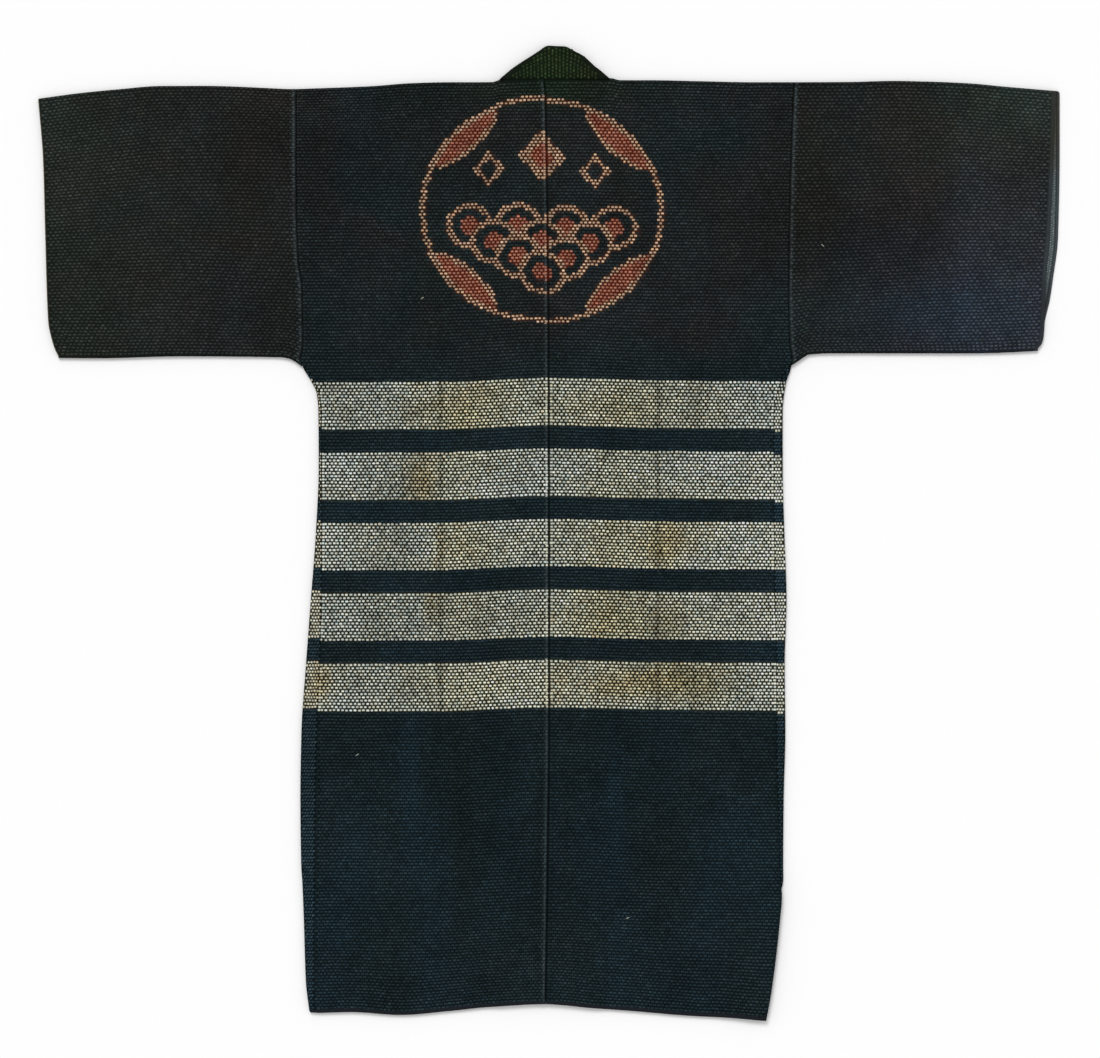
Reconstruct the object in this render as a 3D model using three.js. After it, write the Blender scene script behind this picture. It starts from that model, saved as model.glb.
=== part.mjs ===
// A quilted cotton fireman's coat laid out flat with its back up, in millimetres.
// X runs across the coat from the middle of the back, Y from the hem (low) to the collar (high),
// and Z up from the surface that the coat lies on. Y is 0 at the shoulder folds.
import * as THREE from 'three';

// Cloth
const PLY = 2.6;
const COLLAR_BAND = 4.6;
const SEAM_GAP = 0.3;
const PLY_GAP = 0.4;
const UPPER_Z = PLY + PLY_GAP;
const BAND_Z = COLLAR_BAND + PLY_GAP;
const COLLAR_RISE = BAND_Z - UPPER_Z;

// Folded edges: how far the outside and the inside of the turn reach past the last flat point
const FOLD_REACH = 2.8;
const FOLD_HOLLOW = 0.3;
const FOLD_STEPS = 5;
const CREASE_REACH = 3.5;

// Lengths
const HEM_Y = -1115;
const SHOULDER_Y = 0;
const NECKLINE_Y = 2.1;
const HEM_EASE = 115;
const SHOULDER_EASE = 60;
const FRONT_SHORTER = 5;
const ORIGIN = { x: 1.9, y: -541.1 };

// Storage creases pressed into the back, one in each panel
const CREASE = { left: -128, right: 132, halfWidth: 6, depth: 0.5 };

// The back panel lifts over the side strip low on the right, where it covers it
const COVER = { bare: -940, covered: -957, lift: 3.1, near: 5, far: 22 };
const COLLAR_SLOPE = { near: 6, far: 30 };

// Outer edge of the back panels, and the fold of the side strip beyond it, from the top down
const SIDE = table('y left leftFold right rightFold', [
  [0, -301, 0, 295, 0],
  [-8, -301, 0, 294.6, 0],
  [-60, -301, 0, 292.4, 0],
  [-150, -300.6, 0, 289.8, 0],
  [-215, -298, 0, 288.8, 0],
  [-250, -293.6, 0, 288.6, 0],
  [-316, -292.8, 0, 290.4, 0],
  [-334, -296, 0, 293, 0],
  [-338, -294.4, 0, 291.8, 0],
  [-342, -289.4, -292.8, 288.4, 291.9],
  [-358, -280.2, -283.6, 280, 286.6],
  [-372, -273.4, -277, 275.4, 284],
  [-394, -271.2, -274.8, 271.4, 282],
  [-460, -270.6, -274.4, 271.2, 282],
  [-540, -270.4, -277.8, 271.8, 284],
  [-620, -271.2, -283.8, 272.8, 286.6],
  [-700, -273.2, -289.8, 274.6, 284.4],
  [-780, -276.8, -295.2, 274.4, 285.2],
  [-860, -278.6, -296.4, 276.4, 283.2],
  [-940, -279.2, -295.4, 279, 282.6],
  [-957, -279.4, -294.2, 279.2, 282.8],
  [-975, -279.6, -293.4, 281, 278.4],
  [-1000, -279.8, -292.4, 279, 276.4],
  [-1080, -280.2, -289.8, 268.8, 266.4],
  [-1115, -280.4, -285.8, 262, 259.4],
]);
const SIDE_STRIP_TOP = -342;

// Full width of the side strips from under the arm to the hem
const STRIP_WIDTH = table('y width', [
  [-342, 7.4],
  [-394, 16],
  [-780, 34],
  [-1115, 34],
]);

// Collar legs on the front: the seam with the front panel, and the free edge
const COLLAR_LEG = table('y leftSeam leftFree rightSeam rightFree', [
  [0, -56.9, -12, 75.1, 34],
  [-8, -56.8, -12, 74.4, 33],
  [-60, -56.6, -12, 67, 25],
  [-110, -54, -9.5, 60, 17.5],
  [-150, -50.5, -6.5, 54, 11],
  [-250, -45, -1.8, 45, 1.8],
  [-1115, -45, -1.8, 45, 1.8],
]);

// Collar legs just below the neck creases, where their free edge runs ahead of their seam
const COLLAR_TURN = table('seamY leftX leftY rightX rightY', [
  [-8, -8.5, 22, 30.5, 21],
  [-34, -11.5, -6, 30, -8],
  [-60, -12, -42, 26, -43],
  [-110, -10, -102, 18, -102],
]);

// Neck creases, where the collar turns over to the front: from the seam to the free edge
const NECK_CREASE = {
  left: { seam: [-54.5, 3.2], free: [-5, 38.6], out: [-0.6, 0.8] },
  right: { seam: [72.5, 3.2], free: [28, 37.5], out: [0.6, 0.8] },
};
const COLLAR_CROWN = 5;
const COLLAR_SAG = 0.8;
const COLLAR_BACK_STEPS = 8;

// Across the collar from seam to free edge, with the part of its thickness that is left there
const COLLAR_ACROSS = table('part thick', [
  [0, 0.9],
  [0.25, 1],
  [0.6, 1],
  [0.88, 1],
  [0.96, 0.86],
  [1, 0.5],
]);

const BODY_TOP = table('x y', [
  [-301, -8.2],
  [-212, -4.8],
  [-164, -1.2],
  [-116, 0],
  [-56, 0],
  [76, 2.4],
  [124, 2.4],
  [184, 1.2],
  [244, 0],
  [295, 0],
]);
const HEM = table('x y', [
  [-286, -1114],
  [-277, -1116],
  [-236, -1115],
  [-176, -1118.5],
  [-116, -1113.6],
  [-68, -1108.8],
  [-2, -1105.4],
  [16, -1106.4],
  [52, -1110],
  [100, -1113.6],
  [172, -1119.6],
  [220, -1122],
  [260, -1125.4],
]);
const CENTRE_SEAM = table('y x', [
  [0, -4.2],
  [-18, -2.4],
  [-358, 1.2],
  [-766, 1.8],
  [-934, 0],
  [-1115, -2.4],
]);

// Sleeves: top fold and bottom seam by x, and the cuff by y on the back and on the front layer
const SLEEVE = {
  left: {
    top: table('x y', [
      [-611, -19.8], [-560, -13], [-512, -8.4], [-464, -4.8], [-416, -4.8], [-310, -8.8],
    ]),
    bottom: table('x y', [
      [-611, -330.5], [-536, -331], [-440, -328.8], [-320, -330], [-309, -332], [-293, -342],
    ]),
    cuff: table('y back front', [
      [-20, -610.8, -610.8],
      [-94, -604.8, -604.8],
      [-178, -602.4, -602.4],
      [-286, -598.8, -598.8],
      [-310, -594, -594],
      [-324, -589, -589],
      [-331, -584.4, -584.4],
    ]),
  },
  right: {
    top: table('x y', [
      [301, 1.2], [364, 1.4], [412, 2.4], [460, 1.2], [508, -1.2], [544, -4.8], [613, -10.8],
    ]),
    bottom: table('x y', [
      [290, -341.5], [304, -332.4], [312, -327], [340, -325.2], [508, -325.2], [614, -321],
    ]),
    cuff: table('y back front', [
      [-12, 609.6, 614.4],
      [-80, 607.2, 614.4],
      [-187, 602.4, 612.4],
      [-234, 598, 606.6],
      [-262, 597, 602.4],
      [-288, 596, 596.4],
      [-310, 594.2, 594.4],
      [-321, 587, 587],
    ]),
  },
};

// Rolled edges at hem and cuffs, and raised seam allowances, as parts of the ply's thickness
const ROLLED = table('inset thick', [[0, 0.62], [1.6, 1.12], [4.5, 1.12], [6.5, 1]]);
const LOWER_ROLLED = table('inset thick', [[0, 0.62], [1.6, 1], [6.5, 1]]);
const RAISED_SEAM = table('inset thick', [[0, 0.9], [2, 1.28], [5.5, 1.3], [9, 1]]);
const SUNKEN_SEAM = table('inset thick', [[0, 0.8], [2, 0.95], [5.5, 1], [9, 1]]);

// Broad soft swells in the upper layer: where, which way they run, and how large they are
const SWELLS = table('x y turn long wide high', [
  [-170, -240, 80, 210, 60, 1.1],
  [150, -330, 98, 260, 62, 0.9],
  [-440, -170, 8, 150, 62, 1.2],
  [455, -140, -6, 150, 70, 1.1],
  [-150, -900, 93, 230, 66, 1.3],
  [165, -860, 84, 250, 60, 1.1],
  [20, -600, 4, 170, 90, 0.8],
]);

const COLOURS = {
  indigo: new THREE.Color(0.055, 0.068, 0.075),
  indigoSleeve: new THREE.Color(0.06, 0.07, 0.078),
  indigoStrip: new THREE.Color(0.07, 0.078, 0.078),
  indigoCollar: new THREE.Color(0.06, 0.078, 0.07),
};
const ROUGHNESS = 0.95;

const BODY_ROWS = [
  HEM_Y, -1113.4, -1110.5, -1108.5, -1080, -1000, -975, -957, -940, -860, -780, -700, -620, -540, -460,
  -394, -372, -358, -342, -338, -334, -316, -250, -215, -150, -110, -60, -8, SHOULDER_Y,
];

function table(columns, rows) {
  const names = columns.split(' ');
  return rows.map((row) => Object.fromEntries(row.map((value, column) => [names[column], value])));
}

function mix(a, b, part) {
  return a + (b - a) * part;
}

function clamp01(value) {
  return Math.min(1, Math.max(0, value));
}

function smooth(value) {
  const part = clamp01(value);
  return part * part * (3 - 2 * part);
}

// Straight lines between the rows of a table, which run up or down in their key column
function read(rows, key, name, at) {
  const falling = rows[0][key] > rows[rows.length - 1][key];
  const before = (row) => (falling ? row[key] > at : row[key] < at);
  const next = rows.findIndex((row) => !before(row));
  if (next === 0) return rows[0][name];
  if (next < 0) return rows[rows.length - 1][name];
  const a = rows[next - 1];
  const b = rows[next];
  return mix(a[name], b[name], (at - a[key]) / (b[key] - a[key]));
}

function swell(x, y) {
  let height = 0;
  for (const row of SWELLS) {
    const turn = THREE.MathUtils.degToRad(row.turn);
    const along = (x - row.x) * Math.cos(turn) + (y - row.y) * Math.sin(turn);
    const across = (y - row.y) * Math.cos(turn) - (x - row.x) * Math.sin(turn);
    height += row.high * Math.exp(-((along / row.long) ** 2) - (across / row.wide) ** 2);
  }
  return height;
}

// The upper and lower layer of the laid coat. The outside of the coat is up on one, down on the other.
function upper(x, y, thick = 1, rise = 0) {
  const z = UPPER_Z + rise + swell(x, y);
  return { outer: [x, y, z + PLY * thick], inner: [x, y, z] };
}

function lower(x, y, thick = 1) {
  return { outer: [x, y, 0], inner: [x, y, PLY * thick] };
}

// The turn of a folded edge between two points above each other, without those two
function turn(from, to, out, reach = FOLD_REACH) {
  const step = (k, side, far) => {
    const angle = (Math.PI * k) / FOLD_STEPS;
    const part = (1 - Math.cos(angle)) / 2;
    const point = from[side].map((value, axis) => mix(value, to[side][axis], part));
    point[0] += out[0] * far * Math.sin(angle);
    point[1] += out[1] * far * Math.sin(angle);
    return point;
  };
  const points = [];
  for (let k = 1; k < FOLD_STEPS; k += 1) {
    points.push({ outer: step(k, 'outer', reach), inner: step(k, 'inner', FOLD_HOLLOW) });
  }
  return points;
}

// A closed wall through a grid of outer and inner points, where hasCell says which cells are cloth.
// With loop, the last row joins the first.
function wall(grid, { hasCell = () => true, loop = false } = {}) {
  const rows = grid.length;
  const columns = grid[0].length;
  const lastRow = loop ? rows : rows - 1;
  const positions = [];
  const index = [];
  const known = new Map();
  const vertex = ([row, column], side) => {
    const key = `${row % rows},${column},${side}`;
    if (!known.has(key)) {
      known.set(key, positions.length / 3);
      positions.push(...grid[row % rows][column][side]);
    }
    return known.get(key);
  };
  const isCloth = (row, column) => {
    if (column < 0 || column >= columns - 1) return false;
    if (!loop && (row < 0 || row >= lastRow)) return false;
    return hasCell((row + rows) % rows, column);
  };
  const quad = (a, b, c, d) => index.push(a, b, c, a, c, d);
  for (let row = 0; row < lastRow; row += 1) {
    for (let column = 0; column < columns - 1; column += 1) {
      if (!isCloth(row, column)) continue;
      const corners = [[row, column], [row, column + 1], [row + 1, column + 1], [row + 1, column]];
      const outer = corners.map((corner) => vertex(corner, 'outer'));
      const inner = corners.map((corner) => vertex(corner, 'inner'));
      const joined = [
        isCloth(row - 1, column),
        isCloth(row, column + 1),
        isCloth(row + 1, column),
        isCloth(row, column - 1),
      ];
      quad(...outer);
      quad(inner[3], inner[2], inner[1], inner[0]);
      joined.forEach((isJoined, edge) => {
        const next = (edge + 1) % 4;
        if (!isJoined) quad(outer[next], outer[edge], inner[edge], inner[next]);
      });
    }
  }
  if (signedVolume(positions, index) < 0) index.reverse();
  const geometry = new THREE.BufferGeometry();
  geometry.setAttribute('position', new THREE.Float32BufferAttribute(positions, 3));
  geometry.setIndex(index);
  geometry.computeVertexNormals();
  return geometry;
}

function signedVolume(positions, index) {
  const [a, b, c] = [new THREE.Vector3(), new THREE.Vector3(), new THREE.Vector3()];
  let volume = 0;
  for (let i = 0; i < index.length; i += 3) {
    a.fromArray(positions, index[i] * 3);
    b.fromArray(positions, index[i + 1] * 3);
    c.fromArray(positions, index[i + 2] * 3);
    volume += a.dot(b.cross(c)) / 6;
  }
  return volume;
}

// Where a row of the body lies at x: rows near the hem follow the hem, and the top ones the shoulder
function bodyY(row, x) {
  const hemPart = clamp01((HEM_Y + HEM_EASE - row) / HEM_EASE);
  const topPart = clamp01(1 + (row - SHOULDER_Y) / SHOULDER_EASE);
  const hemShift = read(HEM, 'x', 'y', x) - HEM_Y;
  const topShift = read(BODY_TOP, 'x', 'y', x) - FOLD_REACH;
  return row + hemPart * hemShift + topPart * topShift;
}

function frontY(row, x) {
  const hemPart = clamp01((HEM_Y + HEM_EASE - row) / HEM_EASE);
  return bodyY(row, x) + FRONT_SHORTER * hemPart;
}

function sideEdge(name, row) {
  return read(SIDE, 'y', name, row);
}

// Outer edge of the front panel: the side strip takes what it doesn't show on the back
function frontEdge(name, row) {
  const edge = sideEdge(name, row);
  if (row > SIDE_STRIP_TOP) return edge;
  const fold = sideEdge(`${name}Fold`, row);
  const out = name === 'left' ? -1 : 1;
  const shown = Math.max(0, (fold - edge) * out);
  return fold - out * (read(STRIP_WIDTH, 'y', 'width', row) - shown);
}

// Body panel: columns from the side to the neck point run over the shoulder, the rest end at the neck
function bodyPanel(name) {
  const out = name === 'left' ? -1 : 1;
  const creaseX = CREASE[name];
  const seamShape = name === 'left' ? RAISED_SEAM : SUNKEN_SEAM;
  const seamColumns = [9, 5.5, 2, 0];
  const overShoulder = (side, neck) => [
    side,
    side - out * COVER.near,
    side - out * COVER.far,
    mix(side - out * COVER.far, creaseX + out * CREASE.halfWidth, 0.5),
    creaseX + out * CREASE.halfWidth,
    creaseX,
    creaseX - out * CREASE.halfWidth,
    neck + out * COLLAR_SLOPE.far,
    neck + out * COLLAR_SLOPE.near,
    neck,
  ];
  const neckColumn = 9;
  const lift = (row, column) => {
    if (name === 'left' || row > COVER.bare || column > 1) return 0;
    return COVER.lift * smooth((COVER.bare - row) / (COVER.bare - COVER.covered));
  };
  const backRow = (row) => {
    const neck = read(COLLAR_LEG, 'y', `${name}Seam`, row) + out * SEAM_GAP;
    const centre = read(CENTRE_SEAM, 'y', 'x', row) + (out * SEAM_GAP) / 2;
    const hem = read(ROLLED, 'inset', 'thick', row - HEM_Y);
    const shoulderPart = overShoulder(sideEdge(name, row) - (out * SEAM_GAP) / 2, neck);
    const nearSeam = seamColumns.map((inset) => centre + out * inset);
    const neckPart = [neck - out * 2, mix(neck, centre, 0.5), ...nearSeam];
    return [...shoulderPart, ...neckPart].map((x, column) => {
      const isNeck = column > neckColumn && row === SHOULDER_Y;
      const y = isNeck ? NECKLINE_Y : bodyY(row, x);
      const slope = COLLAR_SLOPE.far - COLLAR_SLOPE.near;
      const fromNeck = (COLLAR_SLOPE.far - (x - neck) * out) / slope;
      const pressed = column === 5 ? CREASE.depth : 0;
      const rise = COLLAR_RISE * smooth(fromNeck) + lift(row, column);
      const seamThick = read(seamShape, 'inset', 'thick', Math.abs(x - centre));
      const point = upper(x, y, hem * seamThick, rise);
      point.outer[2] -= pressed;
      return point;
    });
  };
  const frontRow = (row) => {
    const neck = read(COLLAR_LEG, 'y', `${name}Seam`, row) + out * SEAM_GAP;
    const side = row > SIDE_STRIP_TOP ? sideEdge(name, row) : frontEdge(name, row);
    const hem = read(LOWER_ROLLED, 'inset', 'thick', row - HEM_Y);
    return overShoulder(side - (out * SEAM_GAP) / 2, neck).map((x) => lower(x, frontY(row, x), hem));
  };
  const back = BODY_ROWS.map(backRow);
  const front = [...BODY_ROWS].reverse().map(frontRow);
  const shoulder = back[back.length - 1].slice(0, neckColumn + 1);
  const turns = shoulder.map((point, column) => turn(point, front[0][column], [0, 1]));
  const folded = turns[0].map((_, k) => turns.map((points) => points[k]));
  const pad = (points) => [...points, ...back[0].slice(neckColumn + 1)];
  const grid = [...back, ...folded.map(pad), ...front.map(pad)];
  const hasCell = (row, column) => row < back.length - 1 || column < neckColumn;
  return wall(grid, { hasCell });
}

// Sleeve: a flattened tube from the cuff to the armhole, folded at the top and closed at the bottom
function sleeve(name) {
  const out = name === 'left' ? -1 : 1;
  const shape = SLEEVE[name];
  const rows = BODY_ROWS.filter((row) => row > SIDE_STRIP_TOP && row !== -110);
  const bottomRow = rows[0];
  const cuffInsets = [0, 1.6, 4.5, 6.5];
  const middleParts = [0.28, 0.54, 0.8, 0.92];
  const seamInsets = [9, 5.5, 2, 0];
  const place = (part, row, layer) => {
    const up = (row - bottomRow) / (SHOULDER_Y - bottomRow);
    let x = 0;
    let y = row;
    for (let pass = 0; pass < 6; pass += 1) {
      x = mix(read(shape.cuff, 'y', layer, y), sideEdge(name, row), part);
      const top = read(shape.top, 'x', 'y', x) - FOLD_REACH;
      const bottom = read(shape.bottom, 'x', 'y', x) + FOLD_REACH;
      y = mix(bottom, top, up);
    }
    return [x, y];
  };
  const layerPoints = (row, layer) => {
    const edgeX = sideEdge(name, row) + (out * SEAM_GAP) / 2;
    const edgeY = bodyY(row, edgeX);
    const atSeam = place(1, row, layer);
    const [cuffX] = place(0, row, layer);
    const long = Math.abs(edgeX - cuffX);
    const parts = [
      ...cuffInsets.map((inset) => inset / long),
      ...middleParts,
      ...seamInsets.map((inset) => 1 - inset / long),
    ];
    return parts.map((part) => {
      const [x, y] = place(part, row, layer);
      const pull = smooth(part);
      const rolled = layer === 'back' ? ROLLED : LOWER_ROLLED;
      const cuffThick = read(rolled, 'inset', 'thick', part * long);
      const seamThick = read(RAISED_SEAM, 'inset', 'thick', (1 - part) * long);
      const px = x + pull * (edgeX - atSeam[0]);
      const py = y + pull * (edgeY - atSeam[1]);
      return layer === 'back' ? upper(px, py, cuffThick * seamThick) : lower(px, py, cuffThick);
    });
  };
  const back = rows.map((row) => layerPoints(row, 'back'));
  const front = [...rows].reverse().map((row) => layerPoints(row, 'front'));
  const folds = (from, to, direction) => {
    const turns = from.map((point, column) => turn(point, to[column], direction));
    return turns[0].map((_, k) => turns.map((points) => points[k]));
  };
  const top = folds(back[back.length - 1], front[0], [0, 1]);
  const bottom = folds(back[0], front[front.length - 1], [0, -1]).reverse();
  return wall([...back, ...top, ...front, ...bottom], { loop: true });
}

// Side strip between back and front panel, folded lengthwise at the side of the coat
function gusset(name) {
  const out = name === 'left' ? -1 : 1;
  const rows = BODY_ROWS.filter((row) => row <= SIDE_STRIP_TOP);
  const grid = rows.map((row) => {
    const fold = sideEdge(`${name}Fold`, row);
    const isCovered = (fold - sideEdge(name, row)) * out < FOLD_REACH;
    const back = isCovered ? fold - out * 3.4 : sideEdge(name, row) + (out * SEAM_GAP) / 2;
    const front = frontEdge(name, row) + (out * SEAM_GAP) / 2;
    const bend = fold - out * FOLD_REACH;
    const hem = read(LOWER_ROLLED, 'inset', 'thick', row - HEM_Y);
    const y = bodyY(row, sideEdge(name, row));
    const yFront = frontY(row, sideEdge(name, row));
    const backPoints = [upper(back, y, hem), upper(bend, y, hem)];
    const frontPoints = [bend, mix(bend, front, 0.5), front].map((x) => lower(x, yFront, hem));
    return [...backPoints, ...turn(backPoints[1], frontPoints[0], [out, 0]), ...frontPoints];
  });
  return wall(grid);
}

// Collar: a folded band from the left front hem round the neck to the right front hem
function collar() {
  const across = (seam, free, low, layer) => COLLAR_ACROSS.map(({ part, thick }) => {
    const x = mix(seam[0], free[0], part);
    const y = mix(seam[1], free[1], part);
    const high = COLLAR_BAND * thick;
    const [top, bottom] = [[x, y, low + high], [x, y, low]];
    return layer === 'back' ? { outer: top, inner: bottom } : { outer: bottom, inner: top };
  });
  const leg = (name) => {
    const column = (edge, row) => read(COLLAR_LEG, 'y', `${name}${edge}`, row);
    const straight = BODY_ROWS.filter((row) => row <= -150).map((row) => {
      const seam = column('Seam', row);
      const free = column('Free', row);
      return across([seam, frontY(row, seam)], [free, frontY(row, free)], 0, 'front');
    });
    const turning = [...COLLAR_TURN].reverse().map((row) => {
      const seam = [column('Seam', row.seamY), frontY(row.seamY, column('Seam', row.seamY))];
      return across(seam, [row[`${name}X`], row[`${name}Y`]], 0, 'front');
    });
    const crease = NECK_CREASE[name];
    return [...straight, ...turning, across(crease.seam, crease.free, 0, 'front')];
  };
  const neck = [];
  for (let step = 0; step <= COLLAR_BACK_STEPS; step += 1) {
    const part = step / COLLAR_BACK_STEPS;
    const crown = 1 - (2 * part - 1) ** 4;
    const { left, right } = NECK_CREASE;
    const seam = left.seam.map((value, axis) => mix(value, right.seam[axis], part));
    const free = left.free.map((value, axis) => mix(value, right.free[axis], part));
    free[1] += COLLAR_CROWN * crown;
    neck.push(across(seam, free, BAND_Z - COLLAR_SAG * crown, 'back'));
  }
  const creaseTurn = (back, front, out) => {
    const turns = back.map((point, column) => turn(point, front[column], out, CREASE_REACH));
    return turns[0].map((_, k) => turns.map((points) => points[k]));
  };
  const left = leg('left');
  const right = leg('right').reverse();
  const leftTurn = creaseTurn(neck[0], left[left.length - 1], NECK_CREASE.left.out).reverse();
  const rightTurn = creaseTurn(neck[neck.length - 1], right[0], NECK_CREASE.right.out);
  return wall([...left, ...leftTurn, ...neck, ...rightTurn, ...right]);
}

function piece(name, geometry, color) {
  const material = new THREE.MeshStandardMaterial({ color, roughness: ROUGHNESS, metalness: 0 });
  const mesh = new THREE.Mesh(geometry, material);
  mesh.name = name;
  return mesh;
}

const coat = new THREE.Group();
coat.position.set(-ORIGIN.x, -ORIGIN.y, 0);
coat.add(
  piece('body_left', bodyPanel('left'), COLOURS.indigo),
  piece('body_right', bodyPanel('right'), COLOURS.indigo),
  piece('sleeve_left', sleeve('left'), COLOURS.indigoSleeve),
  piece('sleeve_right', sleeve('right'), COLOURS.indigoSleeve),
  piece('gusset_left', gusset('left'), COLOURS.indigoStrip),
  piece('gusset_right', gusset('right'), COLOURS.indigoStrip),
  piece('collar', collar(), COLOURS.indigoCollar),
);

export default coat;
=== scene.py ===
"""A quilted cotton fireman's coat laid out flat with its back up.

Tables and lengths are in millimetres. X runs across the coat from the middle of the back, Y from the
hem up to the collar with 0 at the shoulder folds, and Z up from the surface that the coat lies on.
Meshes are written in metres.
"""

import math

import bpy
import numpy as np
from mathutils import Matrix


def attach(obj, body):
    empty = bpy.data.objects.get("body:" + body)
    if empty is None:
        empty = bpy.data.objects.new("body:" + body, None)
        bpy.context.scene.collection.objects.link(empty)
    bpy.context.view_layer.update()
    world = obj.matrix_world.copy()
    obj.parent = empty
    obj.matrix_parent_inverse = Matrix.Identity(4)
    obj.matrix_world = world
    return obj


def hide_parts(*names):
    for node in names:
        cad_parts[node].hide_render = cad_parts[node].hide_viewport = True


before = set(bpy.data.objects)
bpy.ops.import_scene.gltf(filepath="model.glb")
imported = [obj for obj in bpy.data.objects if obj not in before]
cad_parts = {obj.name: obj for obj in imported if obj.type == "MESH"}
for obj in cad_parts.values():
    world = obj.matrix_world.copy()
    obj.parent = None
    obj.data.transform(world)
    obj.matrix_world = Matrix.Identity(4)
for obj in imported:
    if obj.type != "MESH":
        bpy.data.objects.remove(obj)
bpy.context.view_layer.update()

MM = 0.001
ORIGIN = np.array([1.9, -541.1, 0.0])

# Cloth
PLY = 2.6
COLLAR_BAND = 4.6
SEAM_GAP = 0.04
PLY_GAP = 0.4
UPPER_Z = PLY + PLY_GAP
BAND_Z = COLLAR_BAND + PLY_GAP
COLLAR_RISE = BAND_Z - UPPER_Z
# The cloth between the stitches lies a little below the solid's face
GROUND_SUNK = 0.2
STITCH_PROUD = 0.42
STITCH_SUNK = 0.16

# Folded edges
FOLD_REACH = 2.8
FOLD_HOLLOW = 0.3
CREASE_REACH = 3.5
FOLD_LENGTH = 8.0

# Lengths
HEM_Y = -1115.0
NECKLINE_Y = 2.9
NECK_LAP = 2.3
HEM_EASE = 115.0
SHOULDER_EASE = 60.0
FRONT_SHORTER = 5.0
STRIP_TOP = -333.9
ARMHOLE = 333.2
SLEEVE_LONG = 308.0
HEM_BARE = 6.0
CUFF_BARE = 5.0

OUT = {"left": -1.0, "right": 1.0}
CREASE_X = {"left": -128.0, "right": 132.0}
# Near the hem the right panel covers its side strip and lies higher there
COVER_BARE = -940.0
COVER_FULL = -957.0
COVER_LIFT = 3.1
COVER_NEAR = 5.0
COVER_WIDE = 66.0
# The panels rise towards the collar between these distances from it
COLLAR_NEAR = 6.0
COLLAR_FAR = 30.0


def table(columns, *rows):
    return dict(zip(columns.split(), np.array(rows, float).T))


# Outer edge of the back panels, and the fold of the side strip beyond it, from the top down
SIDE = table(
    "y left leftFold right rightFold",
    [0, -301, 0, 295, 0], [-8, -301, 0, 294.6, 0], [-60, -301, 0, 292.4, 0],
    [-150, -300.6, 0, 289.8, 0], [-215, -298, 0, 288.8, 0], [-250, -293.6, 0, 288.6, 0],
    [-316, -292.8, 0, 290.4, 0], [-334, -296, 0, 293, 0], [-338, -294.4, -294.5, 291.8, 292.2],
    [-342, -289.4, -293.2, 288.4, 292.0], [-358, -280.2, -283.6, 280, 286.6],
    [-372, -273.4, -277, 275.4, 284], [-394, -271.2, -274.8, 271.4, 282],
    [-460, -270.6, -274.4, 271.2, 282], [-540, -270.4, -277.8, 271.8, 284],
    [-620, -271.2, -283.8, 272.8, 286.6], [-700, -273.2, -289.8, 274.6, 284.4],
    [-780, -276.8, -295.2, 274.4, 285.2], [-860, -278.6, -296.4, 276.4, 283.2],
    [-940, -279.2, -295.4, 279, 282.6], [-957, -279.4, -294.2, 279.2, 282.8],
    [-975, -279.6, -293.4, 281, 278.4], [-1000, -279.8, -292.4, 279, 276.4],
    [-1080, -280.2, -289.8, 268.8, 266.4], [-1115, -280.4, -285.8, 262, 259.4],
)
BELOW_ARM = {key: value[SIDE["y"] <= -338] for key, value in SIDE.items()}
STRIP_WIDTH = table("y width", [-342, 7.4], [-394, 16], [-780, 34], [-1115, 34])

# Collar legs on the front: the seam with the front panel, and the free edge
COLLAR_LEG = table(
    "y leftSeam leftFree rightSeam rightFree",
    [0, -56.9, -12, 75.1, 34], [-8, -56.8, -12, 74.4, 33], [-60, -56.6, -12, 67, 25],
    [-110, -54, -9.5, 60, 17.5], [-150, -50.5, -6.5, 54, 11], [-250, -45, -1.8, 45, 1.8],
    [-1115, -45, -1.8, 45, 1.8],
)
COLLAR_TURN = table(
    "seamY leftX leftY rightX rightY",
    [-8, -8.5, 22, 30.5, 21], [-34, -11.5, -6, 30, -8], [-60, -12, -42, 26, -43],
    [-110, -10, -102, 18, -102],
)
NECK_CREASE = {
    "left": {"seam": (-54.5, 3.2), "free": (-5.0, 38.6), "out": (-0.6, 0.8)},
    "right": {"seam": (72.5, 3.2), "free": (28.0, 37.5), "out": (0.6, 0.8)},
}
COLLAR_CROWN = 5.0
COLLAR_SAG = 0.8
NAPE_SWELL = {"left": 1.6, "right": 3.6}
SWELL_STATIONS = 12
COLLAR_EDGE = table("part thick", [0, 0.9], [0.25, 1], [0.6, 1], [0.88, 1], [0.96, 0.86], [1, 0.5])

BODY_TOP = table(
    "x y",
    [-301, -8.2], [-212, -4.8], [-164, -1.2], [-116, 0], [-66, 0], [-56, 3.0], [76, 4.8], [86, 2.4],
    [124, 2.4], [184, 1.2], [244, 0], [295, 0],
)
HEM = table(
    "x y",
    [-286, -1114], [-277, -1116], [-236, -1115], [-176, -1118.5], [-116, -1113.6], [-68, -1108.8],
    [-2, -1105.4], [16, -1106.4], [52, -1110], [100, -1113.6], [172, -1119.6], [220, -1122],
    [260, -1125.4],
)
# How far the rows of stitches bow at the height of the stripes
ARCH = table("x y", [-275, -5], [-128, -4.6], [0, 0], [136, -3], [275, -4])
CENTRE_SEAM = table("y x", [0, -4.2], [-18, -2.4], [-358, 1.2], [-766, 1.8], [-934, 0], [-1115, -2.4])

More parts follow.
